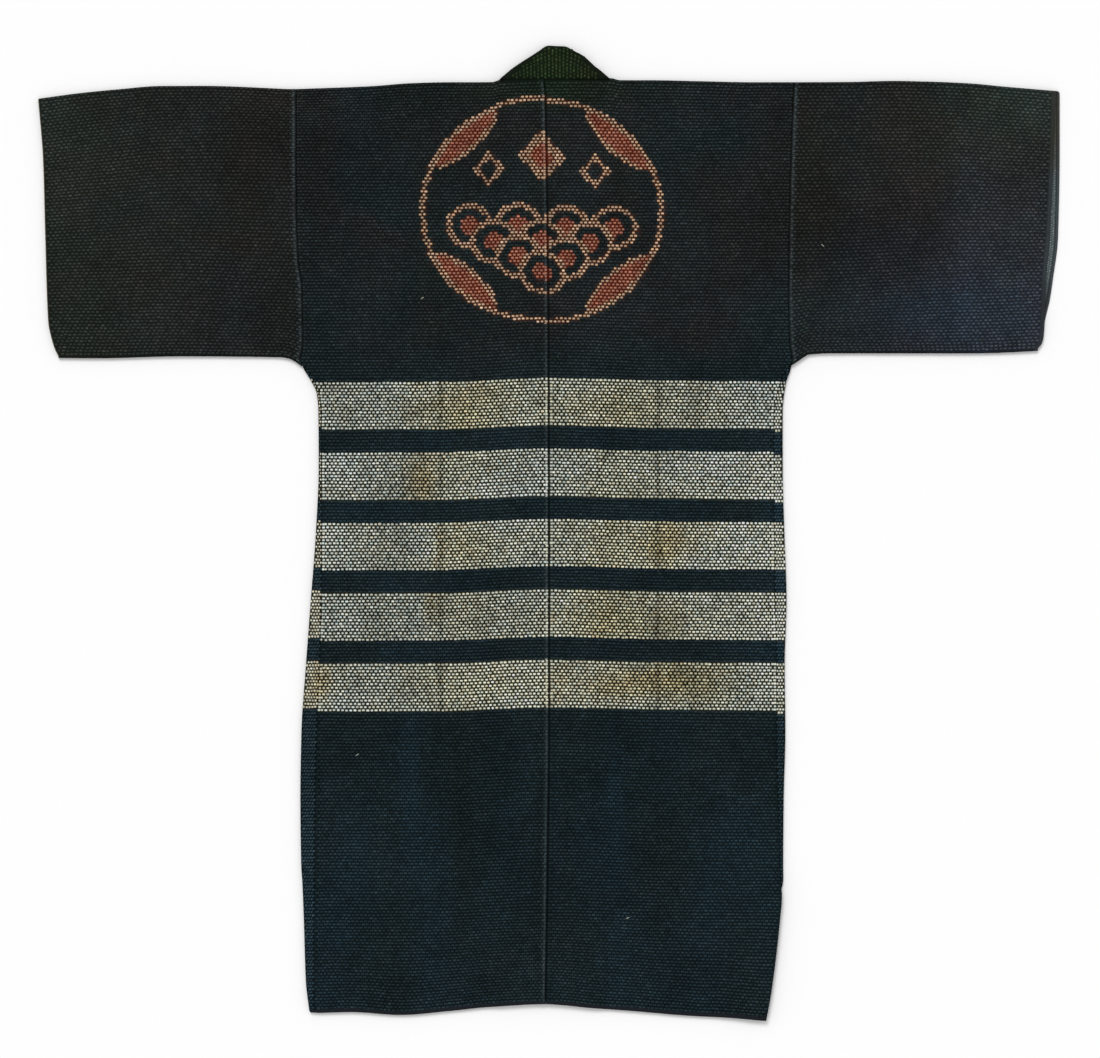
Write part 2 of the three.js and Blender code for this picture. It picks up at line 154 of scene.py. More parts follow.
SLEEVE = {
    "left": {
        "top": table(
            "x y", [-611, -19.8], [-560, -13], [-512, -8.4], [-464, -4.8], [-416, -4.8], [-310, -8.8]
        ),
        "bottom": table(
            "x y", [-611, -330.5], [-536, -331], [-440, -328.8], [-320, -330], [-309, -332], [-293, -342]
        ),
        "cuff": table(
            "y back front",
            [-20, -610.8, -610.8], [-94, -604.8, -604.8], [-178, -602.4, -602.4],
            [-286, -598.8, -598.8], [-310, -594, -594], [-324, -589, -589], [-331, -584.4, -584.4],
        ),
    },
    "right": {
        "top": table(
            "x y", [301, 1.2], [364, 1.4], [412, 2.4], [460, 1.2], [508, -1.2], [544, -4.8], [613, -10.8]
        ),
        "bottom": table(
            "x y", [290, -341.5], [304, -332.4], [312, -327], [340, -325.2], [508, -325.2], [614, -321]
        ),
        "cuff": table(
            "y back front",
            [-12, 609.6, 614.4], [-80, 607.2, 614.4], [-187, 602.4, 612.4], [-234, 598, 606.6],
            [-262, 597, 602.4], [-288, 596, 596.4], [-310, 594.2, 594.4], [-321, 587, 587],
        ),
    },
}

ROLLED = table("inset thick", [0, 0.45], [0.6, 0.85], [1.6, 1.12], [3.4, 1.18], [4.8, 1.08], [6.5, 1])
LOWER_ROLLED = table("inset thick", [0, 0.5], [0.6, 0.8], [1.6, 1], [6.5, 1])
RAISED_SEAM = table("inset thick", [0, 0.72], [0.8, 1.12], [2, 1.3], [4, 1.36], [5.6, 1.26], [9, 1])
SUNKEN_SEAM = table("inset thick", [0, 0.7], [1.2, 0.88], [3, 0.97], [5.5, 1], [9, 1])

SWELLS = table(
    "x y turn long wide high",
    [-170, -240, 80, 210, 60, 1.1], [150, -330, 98, 260, 62, 0.9], [-440, -170, 8, 150, 62, 1.2],
    [455, -140, -6, 150, 70, 1.1], [-150, -900, 93, 230, 66, 1.3], [165, -860, 84, 250, 60, 1.1],
    [20, -600, 4, 170, 90, 0.8],
)
# Soft pulls in the cloth: troughs are negative
PULLS = table(
    "x y turn long wide high",
    [-300, -318, 58, 46, 9, 0.9], [-288, -352, 62, 40, 8, -0.6], [296, -316, 122, 44, 9, 0.9],
    [284, -350, 118, 40, 8, -0.6], [-216, -176, -28, 52, 9, -0.8], [-206, -160, -30, 44, 10, 0.6],
    [168, -312, -24, 58, 10, -0.8], [176, -296, -22, 50, 10, 0.6], [-405, -190, -18, 60, 10, -0.7],
    [-470, -96, 12, 70, 12, 0.6], [420, -226, 20, 66, 12, -0.6], [500, -140, -14, 60, 11, 0.6],
    [-236, -990, 84, 90, 12, 0.6], [214, -1010, 95, 90, 12, 0.6], [-70, -1085, 80, 34, 14, 0.7],
    [60, -1086, 100, 36, 14, 0.6],
)


def mix(a, b, part):
    return a + (b - a) * part


def clamp01(value):
    return np.clip(value, 0.0, 1.0)


def smooth(value):
    part = clamp01(value)
    return part * part * (3 - 2 * part)


def read(rows, at, name=None):
    """A smooth curve through the rows of a table that never overshoots them, along the first column.
    It gives the named column, or the last one."""
    columns = list(rows)
    keys, values = rows[columns[0]], rows[name or columns[-1]]
    if keys[0] > keys[-1]:
        keys, values = keys[::-1], values[::-1]
    at = np.clip(np.asarray(at, float), keys[0], keys[-1])
    steps = np.diff(keys)
    slopes = np.diff(values) / steps
    before, after = slopes[:-1], slopes[1:]
    same = before * after > 0
    safe = np.where(same, before + after, 1.0)
    inner = np.where(same, 2 * before * after / safe, 0.0)
    tangents = np.concatenate([slopes[:1], inner, slopes[-1:]])
    k = np.clip(np.searchsorted(keys, at, side="right") - 1, 0, len(steps) - 1)
    t = (at - keys[k]) / steps[k]
    rise = (1 + 2 * t) * (1 - t) ** 2 * values[k] + t * t * (3 - 2 * t) * values[k + 1]
    return rise + steps[k] * (t * (1 - t) ** 2 * tangents[k] - t * t * (1 - t) * tangents[k + 1])


def noise(x, y, cell, seed):
    """Smooth noise from -1 to 1 with features about cell millimetres wide."""
    gx, gy = np.asarray(x) / cell, np.asarray(y) / cell
    ix, iy = np.floor(gx).astype(np.int64), np.floor(gy).astype(np.int64)
    fx, fy = smooth(gx - ix), smooth(gy - iy)

    def corner(dx, dy):
        mixed = (ix + dx) * 374761393 + (iy + dy) * 668265263 + seed * 974634777
        mixed = (mixed ^ (mixed >> 13)) * 1274126177
        return ((mixed ^ (mixed >> 16)) & 0xFFFF) / 32767.5 - 1.0

    return mix(mix(corner(0, 0), corner(1, 0), fx), mix(corner(0, 1), corner(1, 1), fx), fy)


def ridges(rows, x, y):
    """The sum of soft long humps, each at its place, turned and sized as its row says."""
    height = np.zeros(np.broadcast(x, y).shape)
    for at_x, at_y, turn, long, wide, high in zip(*rows.values()):
        cos, sin = math.cos(math.radians(turn)), math.sin(math.radians(turn))
        dx, dy = x - at_x, y - at_y
        size = ((dx * cos + dy * sin) / long) ** 2 + ((dy * cos - dx * sin) / wide) ** 2
        height = height + high * np.exp(-size)
    return height


def relief(x, y):
    """Height of the upper layer's form above its flat level."""
    uneven = 0.28 * noise(x, y, 31, 3) + 0.16 * noise(x, y, 12, 5)
    return np.maximum(ridges(SWELLS, x, y) + ridges(PULLS, x, y) + 0.35 + uneven, -0.25)


def pucker(y, from_seam, seed):
    """Small changes of thickness along a seam."""
    return 0.05 * noise(0 * y, y, 9, seed) * np.exp(-from_seam / 14)


def stack(x, y, z):
    return np.stack(np.broadcast_arrays(x, y, z), axis=-1)


def fold_over(upper, lower, out, angle, reaches=(FOLD_REACH, FOLD_HOLLOW)):
    """Outer and inner points round a folded edge, angle 0 at the upper layer and pi at the lower one."""
    part = (1 - np.cos(angle)) / 2
    points = []
    for above, below, reach in zip(upper, lower, reaches):
        point = mix(above, below, part[..., None])
        far = reach * np.sin(angle)
        point[..., 0] += out[0] * far
        point[..., 1] += out[1] * far
        points.append(point)
    return points


def hem_part(row):
    """How far a row follows the hem's line, 1 at the hem."""
    return clamp01((HEM_Y + HEM_EASE - row) / HEM_EASE)


def bow(row):
    """How much of its bow a row has, none at the shoulder and none in the rows that follow the hem."""
    return smooth(-row / 330) * (1 - hem_part(row))


def side_y(name, row):
    """Y of a row at the side of the coat."""
    return row + bow(row) * float(read(ARCH, OUT[name] * 275))


def side_edge(name, row):
    return read(SIDE, side_y(name, row), name)


def fold_edge(name, row):
    """The side strip's fold, which only the rows of the table below the arm have."""
    return read(BELOW_ARM, side_y(name, row), f"{name}Fold")


def front_edge(name, row):
    edge, fold = side_edge(name, row), fold_edge(name, row)
    shown = np.maximum(0, (fold - edge) * OUT[name])
    below = fold - OUT[name] * (read(STRIP_WIDTH, row) - shown)
    return np.where(row > STRIP_TOP, edge, below)


def body_y(row, x):
    """Where a row of the body lies at x. Rows bow with the stripes, and follow the hem and the shoulder."""
    top_part = clamp01(1 + row / SHOULDER_EASE)
    hem_shift = read(HEM, x) - HEM_Y
    top_shift = read(BODY_TOP, x) - FOLD_REACH
    return row + hem_part(row) * hem_shift + top_part * top_shift + bow(row) * read(ARCH, x)


def front_y(row, x):
    return body_y(row, x) + FRONT_SHORTER * hem_part(row)


def panel_edges(name, row, layer="back"):
    """Side edge, collar seam and centre seam of a panel at a row, all with half a seam's gap taken off."""
    out = OUT[name]
    neck = read(COLLAR_LEG, row, f"{name}Seam") + out * SEAM_GAP
    side = side_edge(name, row) if layer == "back" else front_edge(name, row)
    centre = read(CENTRE_SEAM, row) + out * SEAM_GAP / 2
    return side - out * SEAM_GAP / 2, neck, centre


def edge_ease(name, row, x):
    """Swells and pulls fade towards the free edges, but not towards the seam with the sleeve."""
    out = OUT[name]
    free = np.maximum(fold_edge(name, row) * out, side_edge(name, row) * out) - x * out
    free = free + 80 * smooth((row + 352) / 40)
    return smooth(0.25 + np.minimum(free, row - HEM_Y) / 30)


def panel_upper(name, row, x, y):
    """Outer and inner point of the back layer of a body panel."""
    out = OUT[name]
    side, neck, centre = panel_edges(name, row)
    rise = COLLAR_RISE * smooth((COLLAR_FAR - (x - neck) * out) / (COLLAR_FAR - COLLAR_NEAR))
    if name == "right":
        covered = smooth((COVER_BARE - side_y(name, row)) / (COVER_BARE - COVER_FULL))
        near = 1 - smooth(((side - x) * out - COVER_NEAR) / COVER_WIDE)
        rise = rise + COVER_LIFT * covered * near
    pressed = 0.5 * np.exp(-(((x - CREASE_X[name]) / 3.2) ** 2)) * (0.75 + 0.25 * noise(0 * y, y, 60, 8))
    z = UPPER_Z + rise + relief(x, y) * edge_ease(name, row, x)
    seam = RAISED_SEAM if name == "left" else SUNKEN_SEAM
    from_seam = np.abs(x - centre)
    thick = read(ROLLED, row - HEM_Y) * read(seam, from_seam)
    top = z + PLY * (thick + pucker(y, from_seam, 21)) - pressed - GROUND_SUNK
    return stack(x, y, top), stack(x, y, z)


def lower_layer(x, y, inset):
    """Outer and inner point of a lower layer, at a distance from its rolled edge."""
    return stack(x, y, STITCH_PROUD), stack(x, y, PLY * read(LOWER_ROLLED, inset))


def panel_point(name, s, x):
    """Outer and inner point at s along the panel: up to 0 on the back, then the fold, then the front."""
    row = np.where(s <= 0, s, np.minimum(FOLD_LENGTH - s, 0))
    upper = panel_upper(name, row, x, body_y(row, x))
    lower = lower_layer(x, front_y(row, x), row - HEM_Y)
    folded = fold_over(upper, lower, (0, 1), clamp01(s / FOLD_LENGTH) * math.pi)
    return [np.where((s > 0)[..., None], folded[k], upper[k]) for k in (0, 1)]


def sleeve_y(name, x, up):
    """Y of a sleeve's row at x. The corner under the arm pulls only the lowest rows down."""
    shape = SLEEVE[name]
    top = read(shape["top"], x) - FOLD_REACH
    bottom = read(shape["bottom"], x) + FOLD_REACH
    straight = read(shape["bottom"], OUT[name] * np.maximum(np.abs(x), 342)) + FOLD_REACH
    return mix(straight, top, up) + (bottom - straight) * clamp01(1 - up) ** 7


def sleeve_place(name, part, row, layer):
    """X and Y on one layer of a sleeve, part 0 at the cuff and 1 at the armhole."""
    cuff = SLEEVE[name]["cuff"]
    up = (row + ARMHOLE) / ARMHOLE
    edge = side_edge(name, row) + OUT[name] * SEAM_GAP / 2
    y = row + 0 * part
    for _ in range(8):
        x = mix(read(cuff, y, layer), edge, part)
        y = sleeve_y(name, x, up)
    lift = body_y(row, edge) - sleeve_y(name, edge, up)
    return x, y + smooth(part) * lift, np.abs(edge - read(cuff, y, layer))


def sleeve_layer(name, part, row, layer):
    x, y, long = sleeve_place(name, part, row, layer)
    from_cuff, from_seam = part * long, (1 - part) * long
    if layer == "front":
        return lower_layer(x, y, from_cuff)
    thick = read(ROLLED, from_cuff) * read(RAISED_SEAM, from_seam)
    z = UPPER_Z + relief(x, y) * smooth(0.25 + from_cuff / 30)
    top = z + PLY * (thick + pucker(y, from_seam, 27)) - GROUND_SUNK
    return stack(x, y, top), stack(x, y, z)


def sleeve_point(name, part, s):
    """Outer and inner point of a sleeve at s round the tube: the back, top fold, front and bottom fold."""
    past_top, past_front = ARMHOLE + FOLD_LENGTH, 2 * ARMHOLE + FOLD_LENGTH
    s = np.mod(s, past_front + FOLD_LENGTH)
    on_back, on_top = s <= ARMHOLE, (s > ARMHOLE) & (s < past_top)
    on_front = (s >= past_top) & (s <= past_front)
    row = np.where(on_back, np.minimum(s, ARMHOLE) - ARMHOLE, np.clip(past_top - s, -ARMHOLE, 0))
    upper = sleeve_layer(name, part, row, "back")
    lower = sleeve_layer(name, part, row, "front")
    at_top = fold_over(upper, lower, (0, 1), clamp01((s - ARMHOLE) / FOLD_LENGTH) * math.pi)
    low_angle = (1 - clamp01((s - past_front) / FOLD_LENGTH)) * math.pi
    at_bottom = fold_over(upper, lower, (0, -1), low_angle)
    points = []
    for k in (0, 1):
        point = np.where(on_back[..., None], upper[k], at_bottom[k])
        point = np.where(on_top[..., None], at_top[k], point)
        points.append(np.where(on_front[..., None], lower[k], point))
    return points


def gusset_spans(name, row):
    """Across a side strip: its edge on the back, where it bends, and its edge on the front."""
    out = OUT[name]
    fold, edge = fold_edge(name, row), side_edge(name, row)
    covered = (fold - edge) * out < FOLD_REACH + SEAM_GAP
    back = np.where(covered, fold - out * 3.4, edge + out * SEAM_GAP / 2)
    return back, fold - out * FOLD_REACH, front_edge(name, row) + out * SEAM_GAP / 2


def gusset_point(name, row, t):
    """t is 0 to 1 across the back, 1 to 2 round the fold and 2 to 3 across the front."""
    back, bend, front = gusset_spans(name, row)
    x_back, x_front = mix(back, bend, clamp01(t)), mix(bend, front, clamp01(t - 2))
    edge = side_edge(name, row)
    y_back, y_front = body_y(row, edge), front_y(row, edge)
    z = UPPER_Z + relief(x_back, y_back) * edge_ease(name, row, x_back)
    top = z + PLY * read(LOWER_ROLLED, row - HEM_Y) - GROUND_SUNK
    upper = (stack(x_back, y_back, top), stack(x_back, y_back, z))
    lower = lower_layer(x_front, y_front, row - HEM_Y)
    return fold_over(upper, lower, (OUT[name], 0), clamp01(t - 1) * math.pi)


# What a station of the collar is: lying on the front, round a crease, or standing behind the neck

LYING = 0.0
LEFT_CREASE = -1.0
RIGHT_CREASE = -2.0
STANDING = 2.0


def crown(part):
    """How far the neck's crown has risen at a part of the way from left to right."""
    return 1 - (2 * part - 1) ** 4


def leg_spot(name, edge, y):
    """X and Y of the seam or free edge of a collar leg at a row."""
    x = float(read(COLLAR_LEG, y, name + edge))
    return x, float(front_y(y, x))


def collar_leg(name):
    """Stations of one leg, from the hem up to its crease."""
    made = []
    for y in [*np.arange(HEM_Y, -150, 8.0), -150.0]:
        made.append((*leg_spot(name, "Seam", y), *leg_spot(name, "Free", y), LYING, 1.0))
    turn = zip(COLLAR_TURN["seamY"], COLLAR_TURN[f"{name}X"], COLLAR_TURN[f"{name}Y"])
    knots = [(*leg_spot(name, "Seam", y), free_x, free_y) for y, free_x, free_y in turn]
    knots = np.array([made[-1][:4], *knots[::-1], (*NECK_CREASE[name]["seam"], *NECK_CREASE[name]["free"])])
    for start, end in zip(knots, knots[1:]):
        made += [(*mix(start, end, part), LYING, 1.0) for part in np.linspace(0, 1, 7)[1:]]
    return made


def collar_stations():
    """Seam and free edge of the collar at stations along it, what each is, and how far round a crease."""
    left, right = collar_leg("left"), collar_leg("right")[::-1]
    angles = np.linspace(math.pi, 0, 13)[1:-1]
    rows = left + [(*left[-1][:4], LEFT_CREASE, angle) for angle in angles]
    ends = [np.array([*NECK_CREASE[name]["seam"], *NECK_CREASE[name]["free"]]) for name in OUT]
    for part in np.linspace(0, 1, 33):
        place = mix(*ends, part)
        place[3] += COLLAR_CROWN * crown(part)
        rows.append((*place, STANDING, crown(part)))
    rows += [(*right[0][:4], RIGHT_CREASE, angle) for angle in angles[::-1]]
    return np.array(rows + right)


def nape_swell(along_part, parts):
    """Shift in x and y of the collar behind the neck, where its folded edges swell past their creases."""
    left = NAPE_SWELL["left"] * smooth(parts / 0.6) * smooth(1 - along_part / 0.45)
    bulge = np.exp(-(((parts - 0.72) / 0.24) ** 2))
    right = NAPE_SWELL["right"] * bulge * smooth(1 - (1 - along_part) / 0.45)
    return [left * NECK_CREASE["left"]["out"][k] + right * NECK_CREASE["right"]["out"][k] for k in (0, 1)]


def nape_z(x, y, sag, parts, uneven=1.0):
    """Height of the collar's outer face behind the neck."""
    thick = COLLAR_BAND * read(COLLAR_EDGE, parts)
    return BAND_Z - sag + thick - GROUND_SUNK + uneven * 0.25 * noise(x, y, 17, 33)


def collar_points(stations, parts):
    """Outer and inner points at every station for parts 0 to 1 across, from the seam to the free edge."""
    thick = COLLAR_BAND * read(COLLAR_EDGE, parts)
    behind = np.nonzero(stations[:, 4] != LYING)[0]
    standing = np.nonzero(stations[:, 4] == STANDING)[0]
    points = []
    for k, (seam_x, seam_y, free_x, free_y, kind, amount) in enumerate(stations):
        x, y = mix(seam_x, free_x, parts), mix(seam_y, free_y, parts)
        upright = float(kind == STANDING)
        sag = COLLAR_SAG * amount * upright
        faces = (stack(x, y, STITCH_PROUD), stack(x, y, thick))
        above = (stack(x, y, nape_z(x, y, sag, parts, upright)), stack(x, y, BAND_Z - sag))
        if kind == STANDING:
            faces = above
        elif kind != LYING:
            out = NECK_CREASE["left" if kind == LEFT_CREASE else "right"]["out"]
            low_end = smooth(parts / 0.25)
            out = (mix(math.copysign(0.98, out[0]), out[0], low_end), mix(0, out[1], low_end))
            reaches = (CREASE_REACH * (1 - 0.92 * smooth(parts)), FOLD_HOLLOW)
            faces = fold_over(above, faces, out, np.full(len(parts), amount), reaches)
        past = max(behind[0] - k, k - behind[-1], 0)
        along_part = clamp01((k - standing[0]) / (len(standing) - 1))
        swell = stack(*nape_swell(along_part, parts), 0) * smooth(1 - past / SWELL_STATIONS)
        points.append([face + swell for face in faces])
    return np.array(points).swapaxes(0, 1)


# Camera, straight above the coat

CAMERA_HEIGHT = 5.0
VIEW_WIDE = 1.32
SENSOR = 36.0

lens = bpy.data.cameras.new("camera")
lens.sensor_fit = "HORIZONTAL"
lens.sensor_width = SENSOR
lens.lens = SENSOR * CAMERA_HEIGHT / VIEW_WIDE
lens.clip_end = 50.0
camera = bpy.data.objects.new("camera", lens)
camera.location = (0.0011, 0.0053, CAMERA_HEIGHT)
bpy.context.scene.collection.objects.link(camera)
bpy.context.scene.camera = camera


# Dyes and a painted highlight, given as they look on a screen

def linear(colour):
    value = np.asarray(colour, float) / 255
    return np.where(value <= 0.04045, value / 12.92, ((value + 0.055) / 1.055) ** 2.4)


STRIPES = ((-354.6, -412.6), (-440.2, -498.2), (-523.8, -579.8), (-606.0, -664.6), (-690.8, -750.4))
STRIP_SHIFT = {"left": 2.5, "right": -1.5}

# Each cloth's dye on a stitch, and in the ground between the stitches
CREAM = {"stitch": (210, 215, 202), "ground": (34, 36, 28)}
UPPER = {"stitch": (43, 49, 51), "ground": (18, 22, 21)}
SKIRT = {"stitch": (37, 51, 57), "ground": (14, 22, 24)}
SLEEVES = {"stitch": (47, 50, 48), "ground": (22, 24, 23)}
COLLAR = {"stitch": (48, 58, 42), "ground": (21, 26, 22)}
RED = {"stitch": (164, 112, 93), "ground": (75, 27, 16)}
OUTLINE = {"stitch": (194, 163, 135), "ground": (56, 30, 20)}

# A painted highlight, not a dye: the raised seam welts are lightened towards this colour
WELT_PAINTED_HIGHLIGHT = (86, 98, 102)
EDGE_DYE = (45, 46, 52)
CUFF_BROWN = (86, 78, 60)
FACING_DYES = ((68, 68, 62), (74, 83, 86), (62, 66, 68))
FACING_WIDE = 14.0
EDGE_THREAD = (58, 62, 66)
HEM_THREAD = (42, 44, 49)
PALE_DASH = (128, 138, 138)

# Yellow-brown stains: place, turn, size and strength
STAINS = table(
    "x y turn long wide high",
    [-148, -470, 84, 38, 20, 0.66], [-140, -622, 88, 40, 12, 0.6], [-128, -548, 90, 34, 10, 0.45],
    [140, -554, 80, 40, 26, 0.72], [186, -548, 0, 34, 22, 0.3], [128, -452, 92, 30, 12, 0.4],
    [150, -640, 86, 40, 22, 0.55], [100, -722, 10, 60, 20, 0.5], [-90, -380, 12, 70, 18, 0.35],
    [60, -660, 60, 30, 14, 0.35], [-268, -722, 90, 30, 10, 0.6], [-50, -462, 86, 26, 16, 0.25],
    [14, -700, 90, 50, 20, 0.35],
)
# Aged amber and duller parts of the stripes
AMBER = table(
    "x y turn long wide high",
    [-100, -400, 90, 60, 44, 0.7], [-104, -590, 90, 120, 38, 0.6], [66, -390, 0, 84, 40, 0.7],
    [80, -540, 90, 76, 56, 0.85], [70, -650, 0, 96, 40, 0.6], [110, -722, 0, 96, 30, 0.6],
    [-70, -722, 0, 90, 30, 0.4], [180, -722, 0, 50, 30, 0.5], [-270, -722, 90, 30, 16, 0.4],
    [250, -400, 90, 80, 40, -0.25], [-250, -450, 90, 160, 50, -0.15],
)
DULL = table(
    "x y turn long wide high",
    [-168, -480, 90, 90, 32, 0.12], [-172, -640, 90, 130, 32, 0.2], [-246, -600, 90, 200, 50, 0.1],
    [-256, -385, 0, 70, 40, 0.1], [120, -640, 90, 70, 50, 0.16], [186, -725, 0, 46, 24, 0.28],
    [120, -400, 90, 60, 40, 0.12], [-90, -640, 90, 40, 60, 0.14], [190, -385, 90, 40, 40, 0.1],
    [246, -520, 90, 100, 50, -0.22], [-30, -552, 0, 70, 34, -0.12], [-24, -720, 0, 70, 34, -0.2],
    [150, -552, 0, 60, 34, -0.14], [264, -640, 90, 130, 34, -0.14], [-266, -600, 90, 140, 34, -0.09],
)
# Wear: paler or browner patches in the dark cloth
BROWN = table(
    "x y turn long wide high",
    [-200, -180, -24, 60, 14, 0.7], [-405, -185, -18, 60, 14, 0.5], [162, -304, -22, 60, 14, 0.6],
    [430, -150, 12, 120, 34, 0.35], [-480, -110, 6, 110, 40, 0.4], [-60, -60, 4, 90, 26, 0.3],
    [230, -200, 70, 90, 34, 0.35],
)
BLUE = table(
    "x y turn long wide high",
    [-164, -836, 90, 110, 13, 0.6], [80, -880, 91, 130, 14, 0.55], [-250, -1000, 88, 80, 22, 0.3],
    [200, -960, 92, 110, 24, 0.3], [470, -280, 4, 130, 40, 0.6], [-380, -280, 20, 90, 60, 0.5],
    [-240, -300, 60, 70, 40, 0.3], [250, -300, 120, 70, 40, 0.3], [-104, -870, 90, 140, 12, -0.45],
    [-8, -900, 90, 160, 9, -0.4], [24, -900, 90, 160, 7, -0.3],
)


def blend(a, b, part):
    return a + (b - a) * np.asarray(part)[..., None]


def tinted(colour, amount, shift):
    return colour * (1 + amount[..., None] * np.array(shift))


def in_stripe(s, x, shift=0.0):
    """Whether a row of stitches at s is pale."""
    level = s - shift + 0 * x
    return np.any([(level < top) & (level > bottom) for top, bottom in STRIPES], axis=0)


# The round device: an outline, a red rim in parts, wave scales below and lozenges above

DEVICE = {"x": -6.6, "y": -151.8, "wide": 144.6, "tall": 133.8, "step": 3.4}
SCALE_WIDE = 0.4
SCALE_TALL = 0.14
SCALE_LIMIT = 0.84
LOZENGES = ((0.0, 0.48, 0.2, 0.24), (-0.44, 0.36, 0.13, 0.17), (0.44, 0.36, 0.13, 0.17))
RIM = 0.965


def device(x, s):
    """0 outside the device's lines, 1 on an outline and 2 on a red part."""
    u = (x - DEVICE["x"]) / DEVICE["wide"]
    v = (s - DEVICE["y"] + DEVICE["step"] * (x > -2.4)) / DEVICE["tall"]
    r = np.hypot(u, v)
    angle = np.degrees(np.arctan2(v, u))
    code = np.zeros(np.broadcast(x, s).shape, int)
    open_part = r < SCALE_LIMIT
    for row in range(-6, 0):
        for column in range(-3, 4):
            cu, cv = (column + 0.5 * (row % 2)) * SCALE_WIDE, row * SCALE_TALL
            if math.hypot(cu, cv) + SCALE_WIDE / 2 > SCALE_LIMIT:
                continue
            ring = np.hypot(u - cu, v - cv) * 2 / SCALE_WIDE
            own = open_part & (ring < 1.0)
            code = np.where(own & (ring > 0.74), 1, code)
            code = np.where(own & (ring < 0.4), 2, code)
            open_part = open_part & (ring >= 1.0)
    for cu, cv, wide, tall in LOZENGES:
        size = np.abs(u - cu) / wide + np.abs(v - cv) / tall
        code = np.where(size < 1.0, 1, code)
        code = np.where(size < 0.52, 2 if wide > 0.15 else 0, code)
    swing = np.maximum(np.cos(np.radians(4 * (angle - 45))), 0)
    inside = RIM - 0.19 * np.sqrt(swing)
    crescent = (r > inside) & (r < RIM) & (swing > 0.02)
    code = np.where(crescent, 2, code)
    code = np.where(crescent & (r < inside + 0.045), 1, code)
    return np.where((r > RIM) & (r < 1.013), 1, code)


def dark_dye(x, y, above, below, part):
    """The dye of dark cloth for a part, "stitch" or "ground": above at the top, below in the skirt."""
    down = smooth((-y - 290) / 110)
    colour = blend(linear(above[part]), linear(below[part]), down)
    brown = ridges(BROWN, x, y) + 0.35 * noise(x, y, 70, 61) + 0.2 * noise(x, y, 24, 62)
    warm = clamp01(0.5 + brown) - 0.5
    colour = tinted(colour, warm * (1 - 0.6 * down), (0.34, -0.02, -0.06))
    blue = ridges(BLUE, x, y) + 0.3 * noise(x, y * 0.35, 46, 63)
    colour = tinted(colour, np.clip(blue, -0.6, 1.0), (0.12, 0.3, 0.5))
    corner = smooth((x - 380) / 220) * smooth((y + 120) / 90) + 0.8 * smooth((-x - 400) / 200)
    colour = tinted(colour, corner, (0.3, 0.5, 0.35))
    low = smooth((-y - 60) / 200)
    faded = smooth((x - 330) / 260) * (0.6 + 0.4 * low)
    colour = tinted(colour, faded, (0.85, 0.85, 1.0))
    colour = tinted(colour, low * smooth((x - 300) / 120), (0.02, 0.04, 0.3))
    nape = np.exp(-(((x - 8) / 95) ** 2)) * smooth((y + 44) / 34)
    colour = tinted(colour, nape, (-0.03, 0.06, -0.3))
    light = 1 + 0.14 * noise(x, y, 90, 64) + 0.12 * noise(x, y, 20, 65) + 0.1 * noise(x, y, 7, 66)
    return colour * light[..., None]


def pale_dye(x, y, colour):
    """The dye of a stripe: amber or yellow-brown in places, and darker in the storage creases."""
    stain = clamp01(ridges(STAINS, x, y) + 0.2 * noise(x, y, 40, 71) - 0.08)
    amber = np.clip(ridges(AMBER, x, y) + 0.25 * noise(x, y, 50, 72), -0.3, 1.0)
    tone = tinted(linear(colour), -amber, (-0.01, 0.12, 0.38))
    tone = tinted(tone, -stain, (0.12, 0.3, 0.58))
    worn = 1 - ridges(DULL, x, y) + 0.12 * noise(x, y, 26, 73) + 0.1 * noise(x, y, 9, 74)
    for at in CREASE_X.values():
        from_crease = (x - at - 1.5 * noise(x * 0, y, 80, 75)) / 2.6
        worn = worn * (1 - 0.36 * np.exp(-(from_crease**2)))
    return tone * worn[..., None]


def striped_dye(x, y, s, part, shift=0.0):
    """The dye of cloth with the stripes, which lie at s along the panel."""
    pale = pale_dye(x, y, CREAM[part])
    return np.where(in_stripe(s, x, shift)[..., None], pale, dark_dye(x, y, UPPER, SKIRT, part))


def body_dye(x, y, s, part, on_front=False):
    """The dye of the body. The device is on the back only."""
    colour = striped_dye(x, y, s, part)
    code = np.where(on_front, 0, device(x, s))
    worn = (1 + 0.16 * noise(x, y, 14, 81))[..., None]
    for number, dye in ((1, OUTLINE), (2, RED)):
        colour = np.where((code == number)[..., None], linear(dye[part]) * worn, colour)
    return colour


def sleeve_dye(x, y, part):
    return dark_dye(x, y, SLEEVES, SLEEVES, part)


def facing_dye(y, from_cuff):
    """The smooth facing inside the right cuff: brown above, bluer, then grey, with painted shade of a groove
    by its edge.
    """
    above, middle, below = (linear(dye) for dye in FACING_DYES)
    colour = blend(above, middle, smooth((-y - 70) / 70))
    colour = blend(colour, below, smooth((-y - 225) / 40))
    edge = clamp01(1 - (from_cuff - 1.8) / 0.8)
    # Painted shade of a groove 3.5 mm in from the edge
    groove_shade = clamp01(1 - np.abs(from_cuff - 3.5) / 1.3)
    return blend(colour, linear(EDGE_THREAD), edge * 0.7) * (1 - 0.8 * groove_shade)[..., None]


# Meshes

